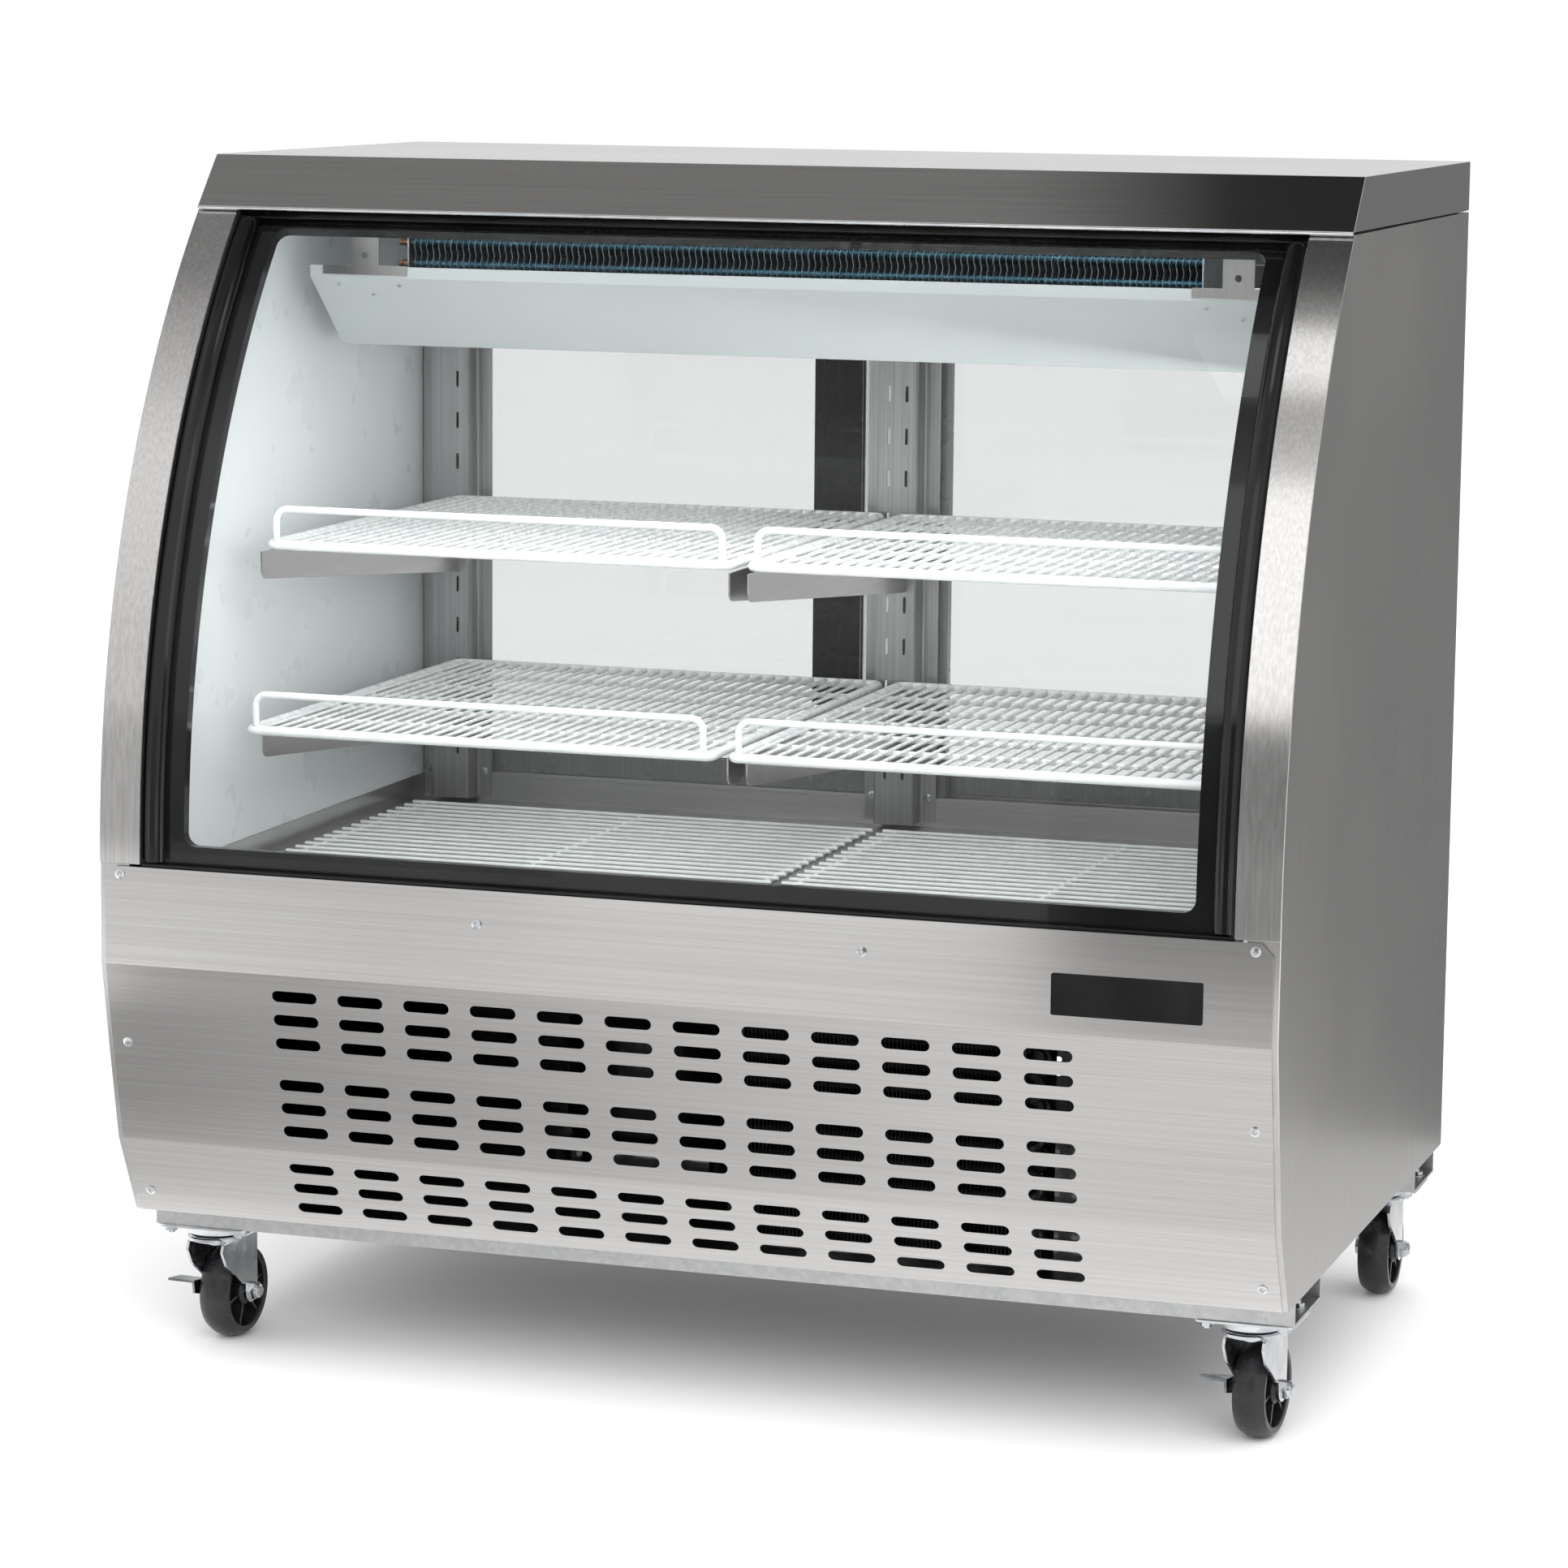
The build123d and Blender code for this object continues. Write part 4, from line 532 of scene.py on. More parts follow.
class Shape:
    """A mesh under construction, in the row frame."""

    def __init__(self):
        self.mesh = bmesh.new()

    def verts(self, points):
        return [self.mesh.verts.new(p) for p in points]

    def prism(self, outline, frame, depth):
        """Closed solid from a flat outline in the frame, pushed along the frame's z."""
        near = self.verts(frame @ Vector((a, b, 0)) for a, b in outline)
        far = self.verts(frame @ Vector((a, b, depth)) for a, b in outline)
        self.mesh.faces.new(near)
        self.mesh.faces.new(far[::-1])
        for i in range(len(near)):
            j = (i + 1) % len(near)
            self.mesh.faces.new((near[i], far[i], far[j], near[j]))
        return self

    def block(self, low, high):
        """Box between two corners."""
        outline = [(low[0], low[1]), (high[0], low[1]), (high[0], high[1]), (low[0], high[1])]
        return self.prism(outline, flat_on(low[2]), high[2] - low[2])

    def rings(self, rows, closed_rows=False):
        """Skin over rows of points, each row a closed ring."""
        made = [self.verts(row) for row in rows]
        for a, b in zip(made, made[1:] + made[:1] if closed_rows else made[1:]):
            for i in range(len(a)):
                j = (i + 1) % len(a)
                self.mesh.faces.new((a[i], a[j], b[j], b[i]))
        if not closed_rows:
            self.mesh.faces.new(made[0][::-1])
            self.mesh.faces.new(made[-1])
        return self

    def lathe(self, profile, frame, around=40):
        """Turned solid from (radius, height) pairs about the frame's z."""
        return self.rings(turned_rows(profile, frame, around))

    def washer(self, profile, frame, around=40):
        """Turned ring from a closed section of (radius, height) pairs."""
        return self.rings(turned_rows(profile, frame, around), closed_rows=True)

    def tube(self, points, radius, around=12):
        """Round bar along a path."""
        points = [Vector(p) for p in points]
        ways = [(b - a).normalized() for a, b in zip(points, points[1:])]
        ways = [ways[0]] + [(a + b).normalized() for a, b in zip(ways, ways[1:])] + [ways[-1]]
        side = ways[0].orthogonal().normalized()
        rows = []
        for point, way in zip(points, ways):
            side = (side - way * side.dot(way)).normalized()
            other = way.cross(side)
            rows.append([point + a * side + b * other for a, b in circle(radius, around)])
        return self.rings(rows)

    def piece(self, name, look, slot, body="cabinet", replaces=(), **finish):
        """Turn the mesh into a shown piece that rides on a CAD body."""
        bmesh.ops.recalc_face_normals(self.mesh, faces=self.mesh.faces)
        data = bpy.data.meshes.new(name)
        self.mesh.to_mesh(data)
        self.mesh.free()
        show(name, data, look, slot, body, replaces, **finish)


def show(name, data, look, slot, body, replaces, bevel=0.0, segments=2, grain=None, sharp=32):
    """Link a mesh as a piece, with soft edges, a finish and its place among the bodies."""
    data.materials.clear()
    data.materials.append(LOOKS[look])
    data.shade_smooth()
    data.set_sharp_from_angle(angle=math.radians(sharp))
    if grain is not None:
        lay_grain(data, grain)
    made = bpy.data.objects.new(name, data)
    SCENE.collection.objects.link(made)
    if bevel:
        edge = made.modifiers.new("soft_edges", "BEVEL")
        edge.width = bevel
        edge.segments = segments
        edge.limit_method = "ANGLE"
        edge.angle_limit = math.radians(sharp)
        edge.harden_normals = True
        edge.use_clamp_overlap = True
    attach(made, body)
    if replaces:
        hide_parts(*replaces)


def lay_grain(data, axis):
    """UV map whose v runs along the brushing and whose u runs across it."""
    layer = data.uv_layers.new(name="grain")
    others = [i for i in range(3) if i != axis]
    for face in data.polygons:
        across = min(others, key=lambda i: abs(face.normal[i]))
        for loop in face.loop_indices:
            spot = data.vertices[data.loops[loop].vertex_index].co
            layer.data[loop].uv = (spot[across], spot[axis])


def refine(node, look=None, **finish):
    """A CAD node's own shape with softened edges, standing for that node."""
    bm = bmesh.new()
    bm.from_mesh(frame["nodes"][node].data)
    bmesh.ops.remove_doubles(bm, verts=bm.verts, dist=0.000002)
    bmesh.ops.dissolve_limit(bm, angle_limit=math.radians(0.2), verts=bm.verts, edges=bm.edges)
    data = bpy.data.meshes.new(node + "_formed")
    bm.to_mesh(data)
    bm.free()
    slot = NODE_SLOT[node]
    show(node + "_formed", data, look or slot, slot, NODE_BODY[node], (node,), **finish)


def rounded_path(corners, radius, per_corner=5):
    """Closed run of points with rounded corners."""
    corners = [Vector(c) for c in corners]
    points = []
    for i, spot in enumerate(corners):
        before, after = corners[i - 1], corners[(i + 1) % len(corners)]
        a, b = (before - spot).normalized(), (after - spot).normalized()
        limit = 0.49 * min((before - spot).length, (after - spot).length)
        reach = min(radius / math.tan(a.angle(b) / 2), limit)
        start, end = spot + a * reach, spot + b * reach
        for t in steps(0, 1, per_corner):
            points.append((1 - t) ** 2 * start + 2 * t * (1 - t) * spot + t**2 * end)
    return points


def slot_outline(x, y, length, width, per_end=8):
    """Round-ended slot about a point."""
    r, half = width / 2, (length - width) / 2
    points = []
    for centre, base in ((half, -90), (-half, 90)):
        for turn in steps(base, base + 180, per_end):
            a = math.radians(turn)
            points.append((x + centre + r * math.cos(a), y + r * math.sin(a)))
    return points


def run_lengths(section):
    """Where each corner of a section lies along it."""
    marks = [0.0]
    for a, b in zip(section, section[1:]):
        marks.append(marks[-1] + (Vector(b) - Vector(a)).length)
    return marks


def folded_sheet(outline, holes, section, fold, thickness, place, bows=()):
    """Sheet cut flat with its holes, then folded.

    The outline and holes are (u, s): u runs along the fold lines, and s along the section,
    whose corners get the fold radius. place(u, a, b) is the point at u with section point (a, b).
    Each run of the section stands out by its bow, as pressed sheet does between two folds.
    """
    corners = [Vector(c) for c in section]
    runs = [(b - a) for a, b in zip(corners, corners[1:])]
    marks = run_lengths(section)
    ways = [math.atan2(run.y, run.x) for run in runs]
    turns = [(b - a + math.pi) % (2 * math.pi) - math.pi for a, b in zip(ways, ways[1:])]
    reaches = [fold * abs(math.tan(turn / 2)) for turn in turns]

    def fold_point(s, w):
        """Section point at developed length s, w behind the face."""
        for mark, turn, reach, way, corner in zip(marks[1:], turns, reaches, ways, corners[1:]):
            if abs(s - mark) < reach - 1e-9:
                share = (s - mark + reach) / (2 * reach)
                start = corner - reach * Vector((math.cos(way), math.sin(way)))
                hand = math.copysign(1, turn)
                centre = start + fold * hand * Vector((-math.sin(way), math.cos(way)))
                now = way + turn * share
                spot = centre - fold * hand * Vector((-math.sin(now), math.cos(now)))
                return spot + w * Vector((-math.sin(now), math.cos(now)))
        index = max(i for i in range(len(runs)) if s >= marks[i] - 1e-9)
        way = ways[index]
        spot = corners[index] + (s - marks[index]) * Vector((math.cos(way), math.sin(way)))
        bow = bows[index] if bows else 0.0
        share = (s - marks[index]) / runs[index].length
        w -= bow * math.sin(math.pi * min(max(share, 0.0), 1.0)) ** 2
        return spot + w * Vector((-math.sin(way), math.cos(way)))

    shape = Shape()
    bm = shape.mesh
    for loop in [outline] + holes:
        ring = shape.verts((u, s, 0) for u, s in loop)
        for a, b in zip(ring, ring[1:] + ring[:1]):
            bm.edges.new((a, b))
    bmesh.ops.triangle_fill(bm, use_beauty=True, edges=bm.edges)
    cuts = [s for mark, reach in zip(marks[1:], reaches) for s in steps(mark - reach, mark + reach, 6)]
    for i, bow in enumerate(bows):
        if bow:
            cuts += steps(marks[i], marks[i + 1], 16)[1:-1]
    for s in cuts:
        every = bm.verts[:] + bm.edges[:] + bm.faces[:]
        bmesh.ops.bisect_plane(bm, geom=every, dist=1e-7, plane_co=(0, s, 0), plane_no=(0, 1, 0))
    top = bmesh.ops.extrude_face_region(bm, geom=bm.faces[:])
    for v in top["geom"]:
        if isinstance(v, bmesh.types.BMVert):
            v.co.z = thickness
    for v in bm.verts:
        a, b = fold_point(v.co.y, v.co.z)
        v.co = place(v.co.x, a, b)
    return shape


def rectangle(u0, u1, s0, s1):
    return [(u0, s0), (u1, s0), (u1, s1), (u0, s1)]


# ---------------------------------------------------------------- steel case
REAR_Y = CAD_BOX[1].y
HALF_W = CAD_BOX[1].x
WALL_IN = HALF_W - 0.032
PILLAR_IN = HALF_W - 0.044
CAP_LOW, CAP_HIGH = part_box("top_cap")
WALL_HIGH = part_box("side_panel_right")[1]
PANEL_LOW, PANEL_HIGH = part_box("front_panel")
FACE_Y = PANEL_LOW.y
FACETS = [(0.0, 0.426), (0.0165, 0.333), (0.035, 0.240), (0.075, PANEL_LOW.z)]
PANEL_LINE = [(FACE_Y, PANEL_HIGH.z)] + [(FACE_Y + back, z) for back, z in FACETS]
PANEL_CORNER = 0.012
PANEL_FOLD = 0.006
PANEL_BOWS = (0.0, 0.0006, 0.0003, 0.0)
SLOT = (0.048, 0.0115)
SLOT_COLUMNS = 12
SLOT_PITCH = (0.070, 0.025)
SLOT_SHIFT = -0.006
FRONT_SCREWS = [(0.577, 0.517), (0.196, 0.491), (0.577, 0.344), (0.577, 0.181)]
REAR_SCREW_X = (-0.555, -0.196, 0.196, 0.555)
REAR_SCREW_Z = (0.170, 0.450)
CAP_SEAM = 0.0011
CAP_SLOPE = 0.050                    # depth of the fascia's slope
CAP_SET_BACK = 0.0018                # of the fascia's foot behind the lip
LIP_R = 0.0017
PILLAR_BACK_R = GLASS_BACK_R - 0.0045
TOP_ANGLE = math.degrees(math.asin((WALL_HIGH.z - ARC_Z) / FACE_R))


def side_walls():
    """Insulated walls and the curved steel pillars in front of them."""
    arc = [arc_point(FACE_R - SHEET, a, 0) for a in steps(TOP_ANGLE, 0, 72)]
    outline = [(p.y, p.z) for p in arc]
    outline += [(FACE_Y + SHEET + back, z) for back, z in FACETS]
    outline += [(REAR_Y, FACETS[-1][1]), (REAR_Y, WALL_HIGH.z)]
    for side, sign in (("left", -1), ("right", 1)):
        wall = Shape().prism(outline, side_on(sign * WALL_IN), sign * (HALF_W - WALL_IN))
        wall.piece("side_wall_" + side, "stainless_z", "stainless", replaces=("side_panel_" + side,),
                   bevel=0.0012, grain=2)
        pillar = Shape()
        for outer_x, inner_r in ((HALF_W, FACE_R - SHEET), (PILLAR_IN + SHEET, PILLAR_BACK_R)):
            rows = []
            for a in steps(0, TOP_ANGLE, 96):
                near, far = sign * PILLAR_IN, sign * outer_x
                rows.append([arc_point(FACE_R, a, near), arc_point(FACE_R, a, far),
                             arc_point(inner_r, a, far), arc_point(inner_r, a, near)])
            pillar.rings(rows)
        pillar.piece("pillar_" + side, "pillar_steel", "stainless", bevel=0.0011, segments=3, grain=2)


def top_cap():
    """Sloped fascia, flat top and folded lower lip."""
    nose_y, nose_z = CAP_LOW.y, CAP_LOW.z
    top, back = CAP_HIGH.z, CAP_HIGH.y
    under = WALL_HIGH.z + CAP_SEAM
    outline = [(nose_y + CAP_SET_BACK, under), (nose_y + CAP_SLOPE, top), (back, top), (back, under)]
    cap = Shape().prism(outline, side_on(-HALF_W), 2 * HALF_W)
    cap.piece("top_cap_skin", "cap_steel", "stainless", replaces=("top_cap",),
              bevel=0.0014, segments=3, grain=0)
    end = HALF_W - 0.0006
    lip = Shape().tube([(x, nose_y + LIP_R + 0.0005, nose_z + LIP_R + AIR) for x in (-end, end)], LIP_R)
    lip.piece("top_cap_lip", "zinc_plate", "stainless")


def front_panel():
    """Slotted panel, cut flat and folded at three lines."""
    marks = run_lengths(PANEL_LINE)
    half, cut, end = PANEL_HIGH.x, PANEL_CORNER, marks[-1]
    outline = [(-half + cut, 0), (half - cut, 0), (half, cut), (half, end), (-half, end), (-half, cut)]
    holes = []
    for low, high in zip(marks[1:], marks[2:]):
        for row in (-1, 0, 1):
            for column in range(SLOT_COLUMNS):
                x = SLOT_SHIFT + (column - (SLOT_COLUMNS - 1) / 2) * SLOT_PITCH[0]
                holes.append(slot_outline(x, (low + high) / 2 + row * SLOT_PITCH[1], *SLOT))
    place = lambda u, a, b: Vector((u, a, b))
    shape = folded_sheet(outline, holes, PANEL_LINE, PANEL_FOLD, SHEET, place, PANEL_BOWS)
    shape.piece("front_panel_skin", "panel_steel", "stainless", replaces=("front_panel",),
                bevel=0.0003, grain=0)


SCREW_RINGS = (1.0, 1.0, 0.9, 0.75, 0.62, 0.56, 0.4, 0.25, 0.12)
SCREW_CROSS = 0.17                   # half width of the cross, as a share of the head


def screw_head(shape, spot, normal, radius=0.005, height=0.0019):
    """Domed head with a cross recess, standing on a face."""
    frame_z = Vector(normal).normalized()
    frame_x = Vector((1, 0, 0)) if abs(frame_z.x) < 0.9 else Vector((0, 1, 0))
    frame_y = frame_z.cross(frame_x).normalized()
    frame_x = frame_y.cross(frame_z)
    rows = []
    for share in SCREW_RINGS:
        row = []
        for a, b in circle(share * radius, 48):
            lift = 0.0 if not rows else height * (0.55 + 0.45 * (1 - share**2))
            in_cross = min(abs(a), abs(b)) < SCREW_CROSS * radius and share < 0.6
            if in_cross:
                lift -= 0.55 * height
            row.append(Vector(spot) + a * frame_x + b * frame_y + lift * frame_z)
        rows.append(row)
    shape.rings(rows)


def case_screws():
    """The cross-head screws at the CAD's screw places, front and rear."""
    shape = Shape()
    for x, z in FRONT_SCREWS:
        for (y1, z1), (y0, z0) in zip(PANEL_LINE, PANEL_LINE[1:]):
            if z0 <= z <= z1:
                y = y0 + (y1 - y0) * (z - z0) / (z1 - z0)
                for sign in (-1, 1):
                    screw_head(shape, (sign * x, y, z), (0, z0 - z1, y1 - y0))
    rear_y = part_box("rear_panel")[1].y
    for x in REAR_SCREW_X:
        for z in REAR_SCREW_Z:
            screw_head(shape, (x, rear_y, z), (0, 1, 0))
    shape.piece("case_screw_heads", "zinc_plate", "zinc_plate", replaces=("case_screws",), sharp=25)


side_walls()
top_cap()
front_panel()
case_screws()
refine("badge_plate", "badge_face", bevel=0.0005)


# ---------------------------------------------------------------- curved glass
def pane(name, outer, replaces):
    """Curved pane, the full width of the case."""
    rows = []
    for a in steps(*GLASS_ANGLES, 120):
        rows.append([arc_point(outer, a, -GLASS_X), arc_point(outer, a, GLASS_X),
                     arc_point(outer - PANE, a, GLASS_X), arc_point(outer - PANE, a, -GLASS_X)])
    Shape().rings(rows).piece(name, "clear_glass", "clear_glass", replaces=replaces)


def border_loops():
    """The window's rounded edge and the glass's own edge, point for point, as (x, degrees)."""
    low, high = (math.degrees(math.asin((z - ARC_Z) / GLASS_R)) for z in WINDOW_Z)
    to_degrees = 180 / (math.pi * GLASS_R)
    window, border = [], []
    corners = [(WINDOW_X, high, 0), (-WINDOW_X, high, 90), (-WINDOW_X, low, 180), (WINDOW_X, low, 270)]
    bottom, top = GLASS_ANGLES
    per_corner = 8
    for (x, angle, base), (_, next_angle, _) in zip(corners, corners[1:] + corners[:1]):
        cx = x - math.copysign(WINDOW_CORNER, x)
        ca = angle - math.copysign(WINDOW_CORNER * to_degrees, angle - (low + high) / 2)
        out_x = math.copysign(GLASS_X, x)
        out_a = top if angle == high else bottom
        for i, turn in enumerate(steps(base, base + 90, per_corner)):
            t = math.radians(turn)
            spot = (cx + WINDOW_CORNER * math.cos(t), ca + WINDOW_CORNER * math.sin(t) * to_degrees)
            window.append(spot)
            if i == per_corner // 2:
                border.append((out_x, out_a))
            elif (i < per_corner // 2) == (base in (0, 180)):
                border.append((out_x, spot[1]))
            else:
                border.append((spot[0], out_a))
        if next_angle != angle:
            for a in steps(angle, next_angle, 60)[3:-3]:
                window.append((x, a))
                border.append((out_x, a))
    return window, border


def glass_border():
    """Black border between the panes, with a rounded window."""
    window, border = border_loops()
    shape = Shape()
    front_r, back_r = GLASS_R - PANE - AIR, INNER_R + AIR
    rings = []
    for loop, radius in ((border, front_r), (window, front_r), (window, back_r), (border, back_r)):
        rings.append(shape.verts(arc_point(radius, a, x) for x, a in loop))
    for a, b in zip(rings, rings[1:] + rings[:1]):
        for i in range(len(a)):
            j = (i + 1) % len(a)
            shape.mesh.faces.new((a[i], a[j], b[j], b[i]))
    shape.piece("glass_border", "black_trim", "black_trim", replaces=("glass_spacer",), sharp=45)


SEAL_DOME = 0.0066
SEAL_HEEL = 0.0025
SEAL_ANGLES = (0.2, GLASS_ANGLES[1] - 0.5)


def side_seals():
    """Domed black seals between the glass and the pillars."""
    seals = Shape()
    middle, half = (SEAL_X[0] + SEAL_X[1]) / 2, (SEAL_X[1] - SEAL_X[0]) / 2 - 0.0003
    foot, heel = GLASS_R + 0.0006, GLASS_BACK_R - SEAL_HEEL
    inner = GLASS_X + 0.0005
    dome = [(middle - half * math.cos(t), foot + SEAL_DOME * math.sin(t)) for t in steps(0, math.pi, 10)]
    profile = dome + [(middle + half, heel), (inner, heel), (inner, GLASS_R + 0.0003)]
    for sign in (-1, 1):
        seals.rings([[arc_point(r, a, sign * x) for x, r in profile] for a in steps(*SEAL_ANGLES, 96)])
    seals.piece("side_seals", "black_trim", "black_trim", replaces=("glass_seals",), sharp=50)


pane("glass_outer_pane", GLASS_R, ("front_glass_outer",))
pane("glass_inner_pane", INNER_R, ("front_glass_inner",))
glass_border()
side_seals()
refine("glass_channels", bevel=0.0008)

# ---------------------------------------------------------------- inside the cabinet
POST_LOW, POST_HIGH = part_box("shelf_posts")
COIL_LOW, COIL_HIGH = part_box("evaporator_coil")
PAN_LOW, PAN_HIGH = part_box("drip_pan")
POST_X = 0.5235
POST_LINES = {-POST_X: (0.0095,), 0.0: (-0.010, 0.010), POST_X: (-0.0095,)}
POST_HALF, POST_FLANGE, POST_DEPTH = 0.023, 0.018, 0.026
POST_SLOTS = 13
POST_SLOT = (0.018, 0.003)
POST_SLOT_Z = 0.547
POST_SLOT_PITCH = 0.046
FIN_PITCH = 0.0067
FIN_WAVE = 0.0009
COIL_TUBE_R = 0.0052
COIL_GRID = (0.024, 0.022)
COIL_FIRST = (0.021, 0.011)          # first tube, from the coil's front and bottom
COIL_ROWS, COIL_COLUMNS = 3, 5
PAN_BEND_Z, PAN_KNEE_Y, PAN_REAR_Z = 1.093, 0.028, 1.060
PAN_SCREWS = ((0.497, 0.10), (0.463, 0.24), (0.429, 0.10))


def shelf_posts():
    """Hat-section posts with paired rows of upright slots and a screw in each flange."""
    half, flange, reach = POST_HALF, POST_FLANGE, POST_DEPTH
    face_y = POST_LOW.y
    back_y = face_y + reach
    section = [(-half - flange, back_y), (-half, back_y), (-half, face_y)]
    section += [(-x, y) for x, y in section[::-1]]
    width = run_lengths(section)[-1]
    outline = rectangle(POST_LOW.z, POST_HIGH.z, 0, width)
    screws = Shape()
    for (x, lines), name in zip(POST_LINES.items(), ("left", "middle", "right")):
        holes = []
        for line in lines:
            for i in range(POST_SLOTS):
                z = POST_SLOT_Z + i * POST_SLOT_PITCH
                holes.append(slot_outline(z, width / 2 + line, *POST_SLOT, 4))
        shape = folded_sheet(outline, holes, section, 0.003, SHEET, lambda u, a, b: Vector((x + a, b, u)))
        shape.piece("post_" + name, "post_steel", "stainless", replaces=("shelf_posts",),
                    bevel=0.0002, grain=2)
        for side in (-1, 1):
            spot = (x + side * (half + flange / 2), back_y, POST_LOW.z + 0.028)
            screw_head(screws, spot, (0, -1, 0), 0.0042, 0.0022)
    screws.piece("post_screws", "zinc_plate", "zinc_plate", sharp=25)


def evaporator():
    """Wavy fins on three rows of tubes between two bright end plates."""
    fins = Shape()
    low, high = COIL_LOW, COIL_HIGH
    count = int((high.x - low.x - 0.012) / FIN_PITCH)
    waves = steps(low.z + 0.001, high.z - 0.002, 20)
    for i in range(count + 1):
        x = low.x + 0.008 + i * FIN_PITCH
        left = [(x + FIN_WAVE * math.sin(math.pi * k / 2.5), z) for k, z in enumerate(waves)]
        right = [(a + 0.0004, z) for a, z in left[::-1]]
        fins.prism(left + right, front_on(low.y + 0.003), high.y - low.y - 0.006)
    fins.piece("evaporator_fins", "aluminium_fin", "aluminium_fin", replaces=("evaporator_coil",), sharp=60)
    tubes = Shape()
    for row in range(COIL_ROWS):
        for column in range(COIL_COLUMNS):
            y = low.y + COIL_FIRST[0] + COIL_GRID[0] * column
            z = low.z + COIL_FIRST[1] + COIL_GRID[1] * row
            tubes.tube([(low.x + 0.001, y, z), (high.x - 0.001, y, z)], COIL_TUBE_R)
    # tubes coloured blue-teal: a painted highlight
    tubes.piece("evaporator_tubes", "coil_tube_painted_highlight", "aluminium_fin")
    ends = Shape()
    for x in (low.x + 0.0005, high.x - 0.0025):
        ends.block((x, low.y, low.z), (x + 0.002, high.y, high.z - 0.0004))
    ends.piece("evaporator_ends", "galvanised", "galvanised", bevel=0.0004)
    # Black sheet behind the fins: painted shade for the dark depth of the fin pack.
    back = Shape().block(
        (low.x + 0.004, high.y - 0.0028, low.z),
        (high.x - 0.004, high.y - 0.0018, high.z - 0.0004),
    )
    back.piece("evaporator_back_shade", "black_plastic", "black_plastic")


def drip_pan():
    """Folded tray under the coil, with end plates and small screws."""
    front, bottom, rear = PAN_LOW.y, PAN_LOW.z, PAN_HIGH.y
    section = [
        (front, PAN_HIGH.z), (front, PAN_BEND_Z), (PAN_KNEE_Y, bottom), (rear, bottom), (rear, PAN_REAR_Z),
    ]
    outline = rectangle(PAN_LOW.x, PAN_HIGH.x, 0, run_lengths(section)[-1])
    shape = folded_sheet(outline, [], section, 0.0025, SHEET, lambda u, a, b: Vector((u, a, b)))
    # tray and end plates take the darker grey copy of the liner's white: painted shade
    shape.piece("drip_pan_tray", "pan_shaded_white", "liner_white", replaces=("drip_pan",), bevel=0.0003)
    ends = Shape()
    lap = 0.002
    inner = [
        (front + lap, PAN_HIGH.z - 0.001), (front + lap, PAN_BEND_Z + 0.001),
        (PAN_KNEE_Y + 0.001, bottom + lap), (rear - lap, bottom + lap), (rear - lap, PAN_REAR_Z),
    ]
    for x in (PAN_LOW.x + 0.0002, PAN_HIGH.x - 0.0014):
        ends.prism(inner, side_on(x), 0.0012)
    ends.piece("drip_pan_ends", "pan_shaded_white", "liner_white", bevel=0.0003)
    screws = Shape()
    slope = Vector((0, PAN_KNEE_Y - front, bottom - PAN_BEND_Z))
    normal = Vector((0, slope.z, -slope.y))
    for sign in (-1, 1):
        for x, share in PAN_SCREWS:
            spot = Vector((sign * x, front, PAN_BEND_Z)) + slope * share
            screw_head(screws, spot, normal, 0.0024, 0.001)
    screws.piece("drip_pan_screws", "zinc_plate", "zinc_plate", sharp=25)


shelf_posts()
evaporator()
drip_pan()
refine("drip_pan_hangers", "stainless_z", bevel=0.0004, grain=2)
refine("light_tube", bevel=0.001)
refine("floor_tub", bevel=0.0008, grain=0)
refine("shelf_brackets", "stainless_y", bevel=0.0004, grain=1)
refine("rear_frame", bevel=0.0010, grain=0)
for side in ("left", "right"):
    refine("door_frame_" + side, bevel=0.0010, grain=2)
    refine("door_glass_" + side, "door_glass", bevel=0.0004)

# ---------------------------------------------------------------- machine bay
UNIT_LOW, UNIT_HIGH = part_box("condenser_coil")
UNIT_FIN_PITCH = 0.004
UNIT_TUBE_R = 0.0048
HAIRPIN_REACH = 0.012


def condenser():
    """Black fin pack with hairpin tubes, behind the right-hand slots; its black is partly its own coating and
    partly painted shade for the dark bay.
    """
    low, high = UNIT_LOW, UNIT_HIGH
    fins = Shape()
    for i in range(int((high.x - low.x - 0.010) / UNIT_FIN_PITCH)):
        x = low.x + 0.005 + UNIT_FIN_PITCH * i
        fins.block((x, low.y + 0.003, low.z + 0.018), (x + 0.0004, high.y - 0.002, high.z - 0.004))
    fins.piece("condenser_fins", "compressor_paint", "aluminium_fin", replaces=("condenser_coil",))
    tubes = Shape()
    rows = steps(low.z + 0.032, high.z - 0.018, 8)
    for column, y in enumerate((low.y + 0.013, low.y + 0.034)):
        for i, z in enumerate(rows):
            ends_x = (low.x - 0.002, high.x + 0.002)
            tubes.tube([(x, y, z) for x in ends_x], UNIT_TUBE_R)
            if i and i % 2 != column:
                middle, half = (z + rows[i - 1]) / 2, (z - rows[i - 1]) / 2
                for x, way in zip(ends_x, (-1, 1)):
                    bend = [(x + way * HAIRPIN_REACH * math.sin(t), y, middle + half * math.cos(t))
                            for t in steps(0, math.pi, 10)]
                    tubes.tube(bend, UNIT_TUBE_R, 10)
    tubes.piece("condenser_tubes", "compressor_paint", "compressor_paint")
    ends = Shape()
    for x in (low.x, high.x - 0.0018):
        ends.block((x, low.y, low.z), (x + 0.0018, high.y, high.z))
    ends.piece("condenser_ends", "compressor_paint", "compressor_paint", bevel=0.0004)


condenser()
refine("base_rails", bevel=0.0006, grain=0)
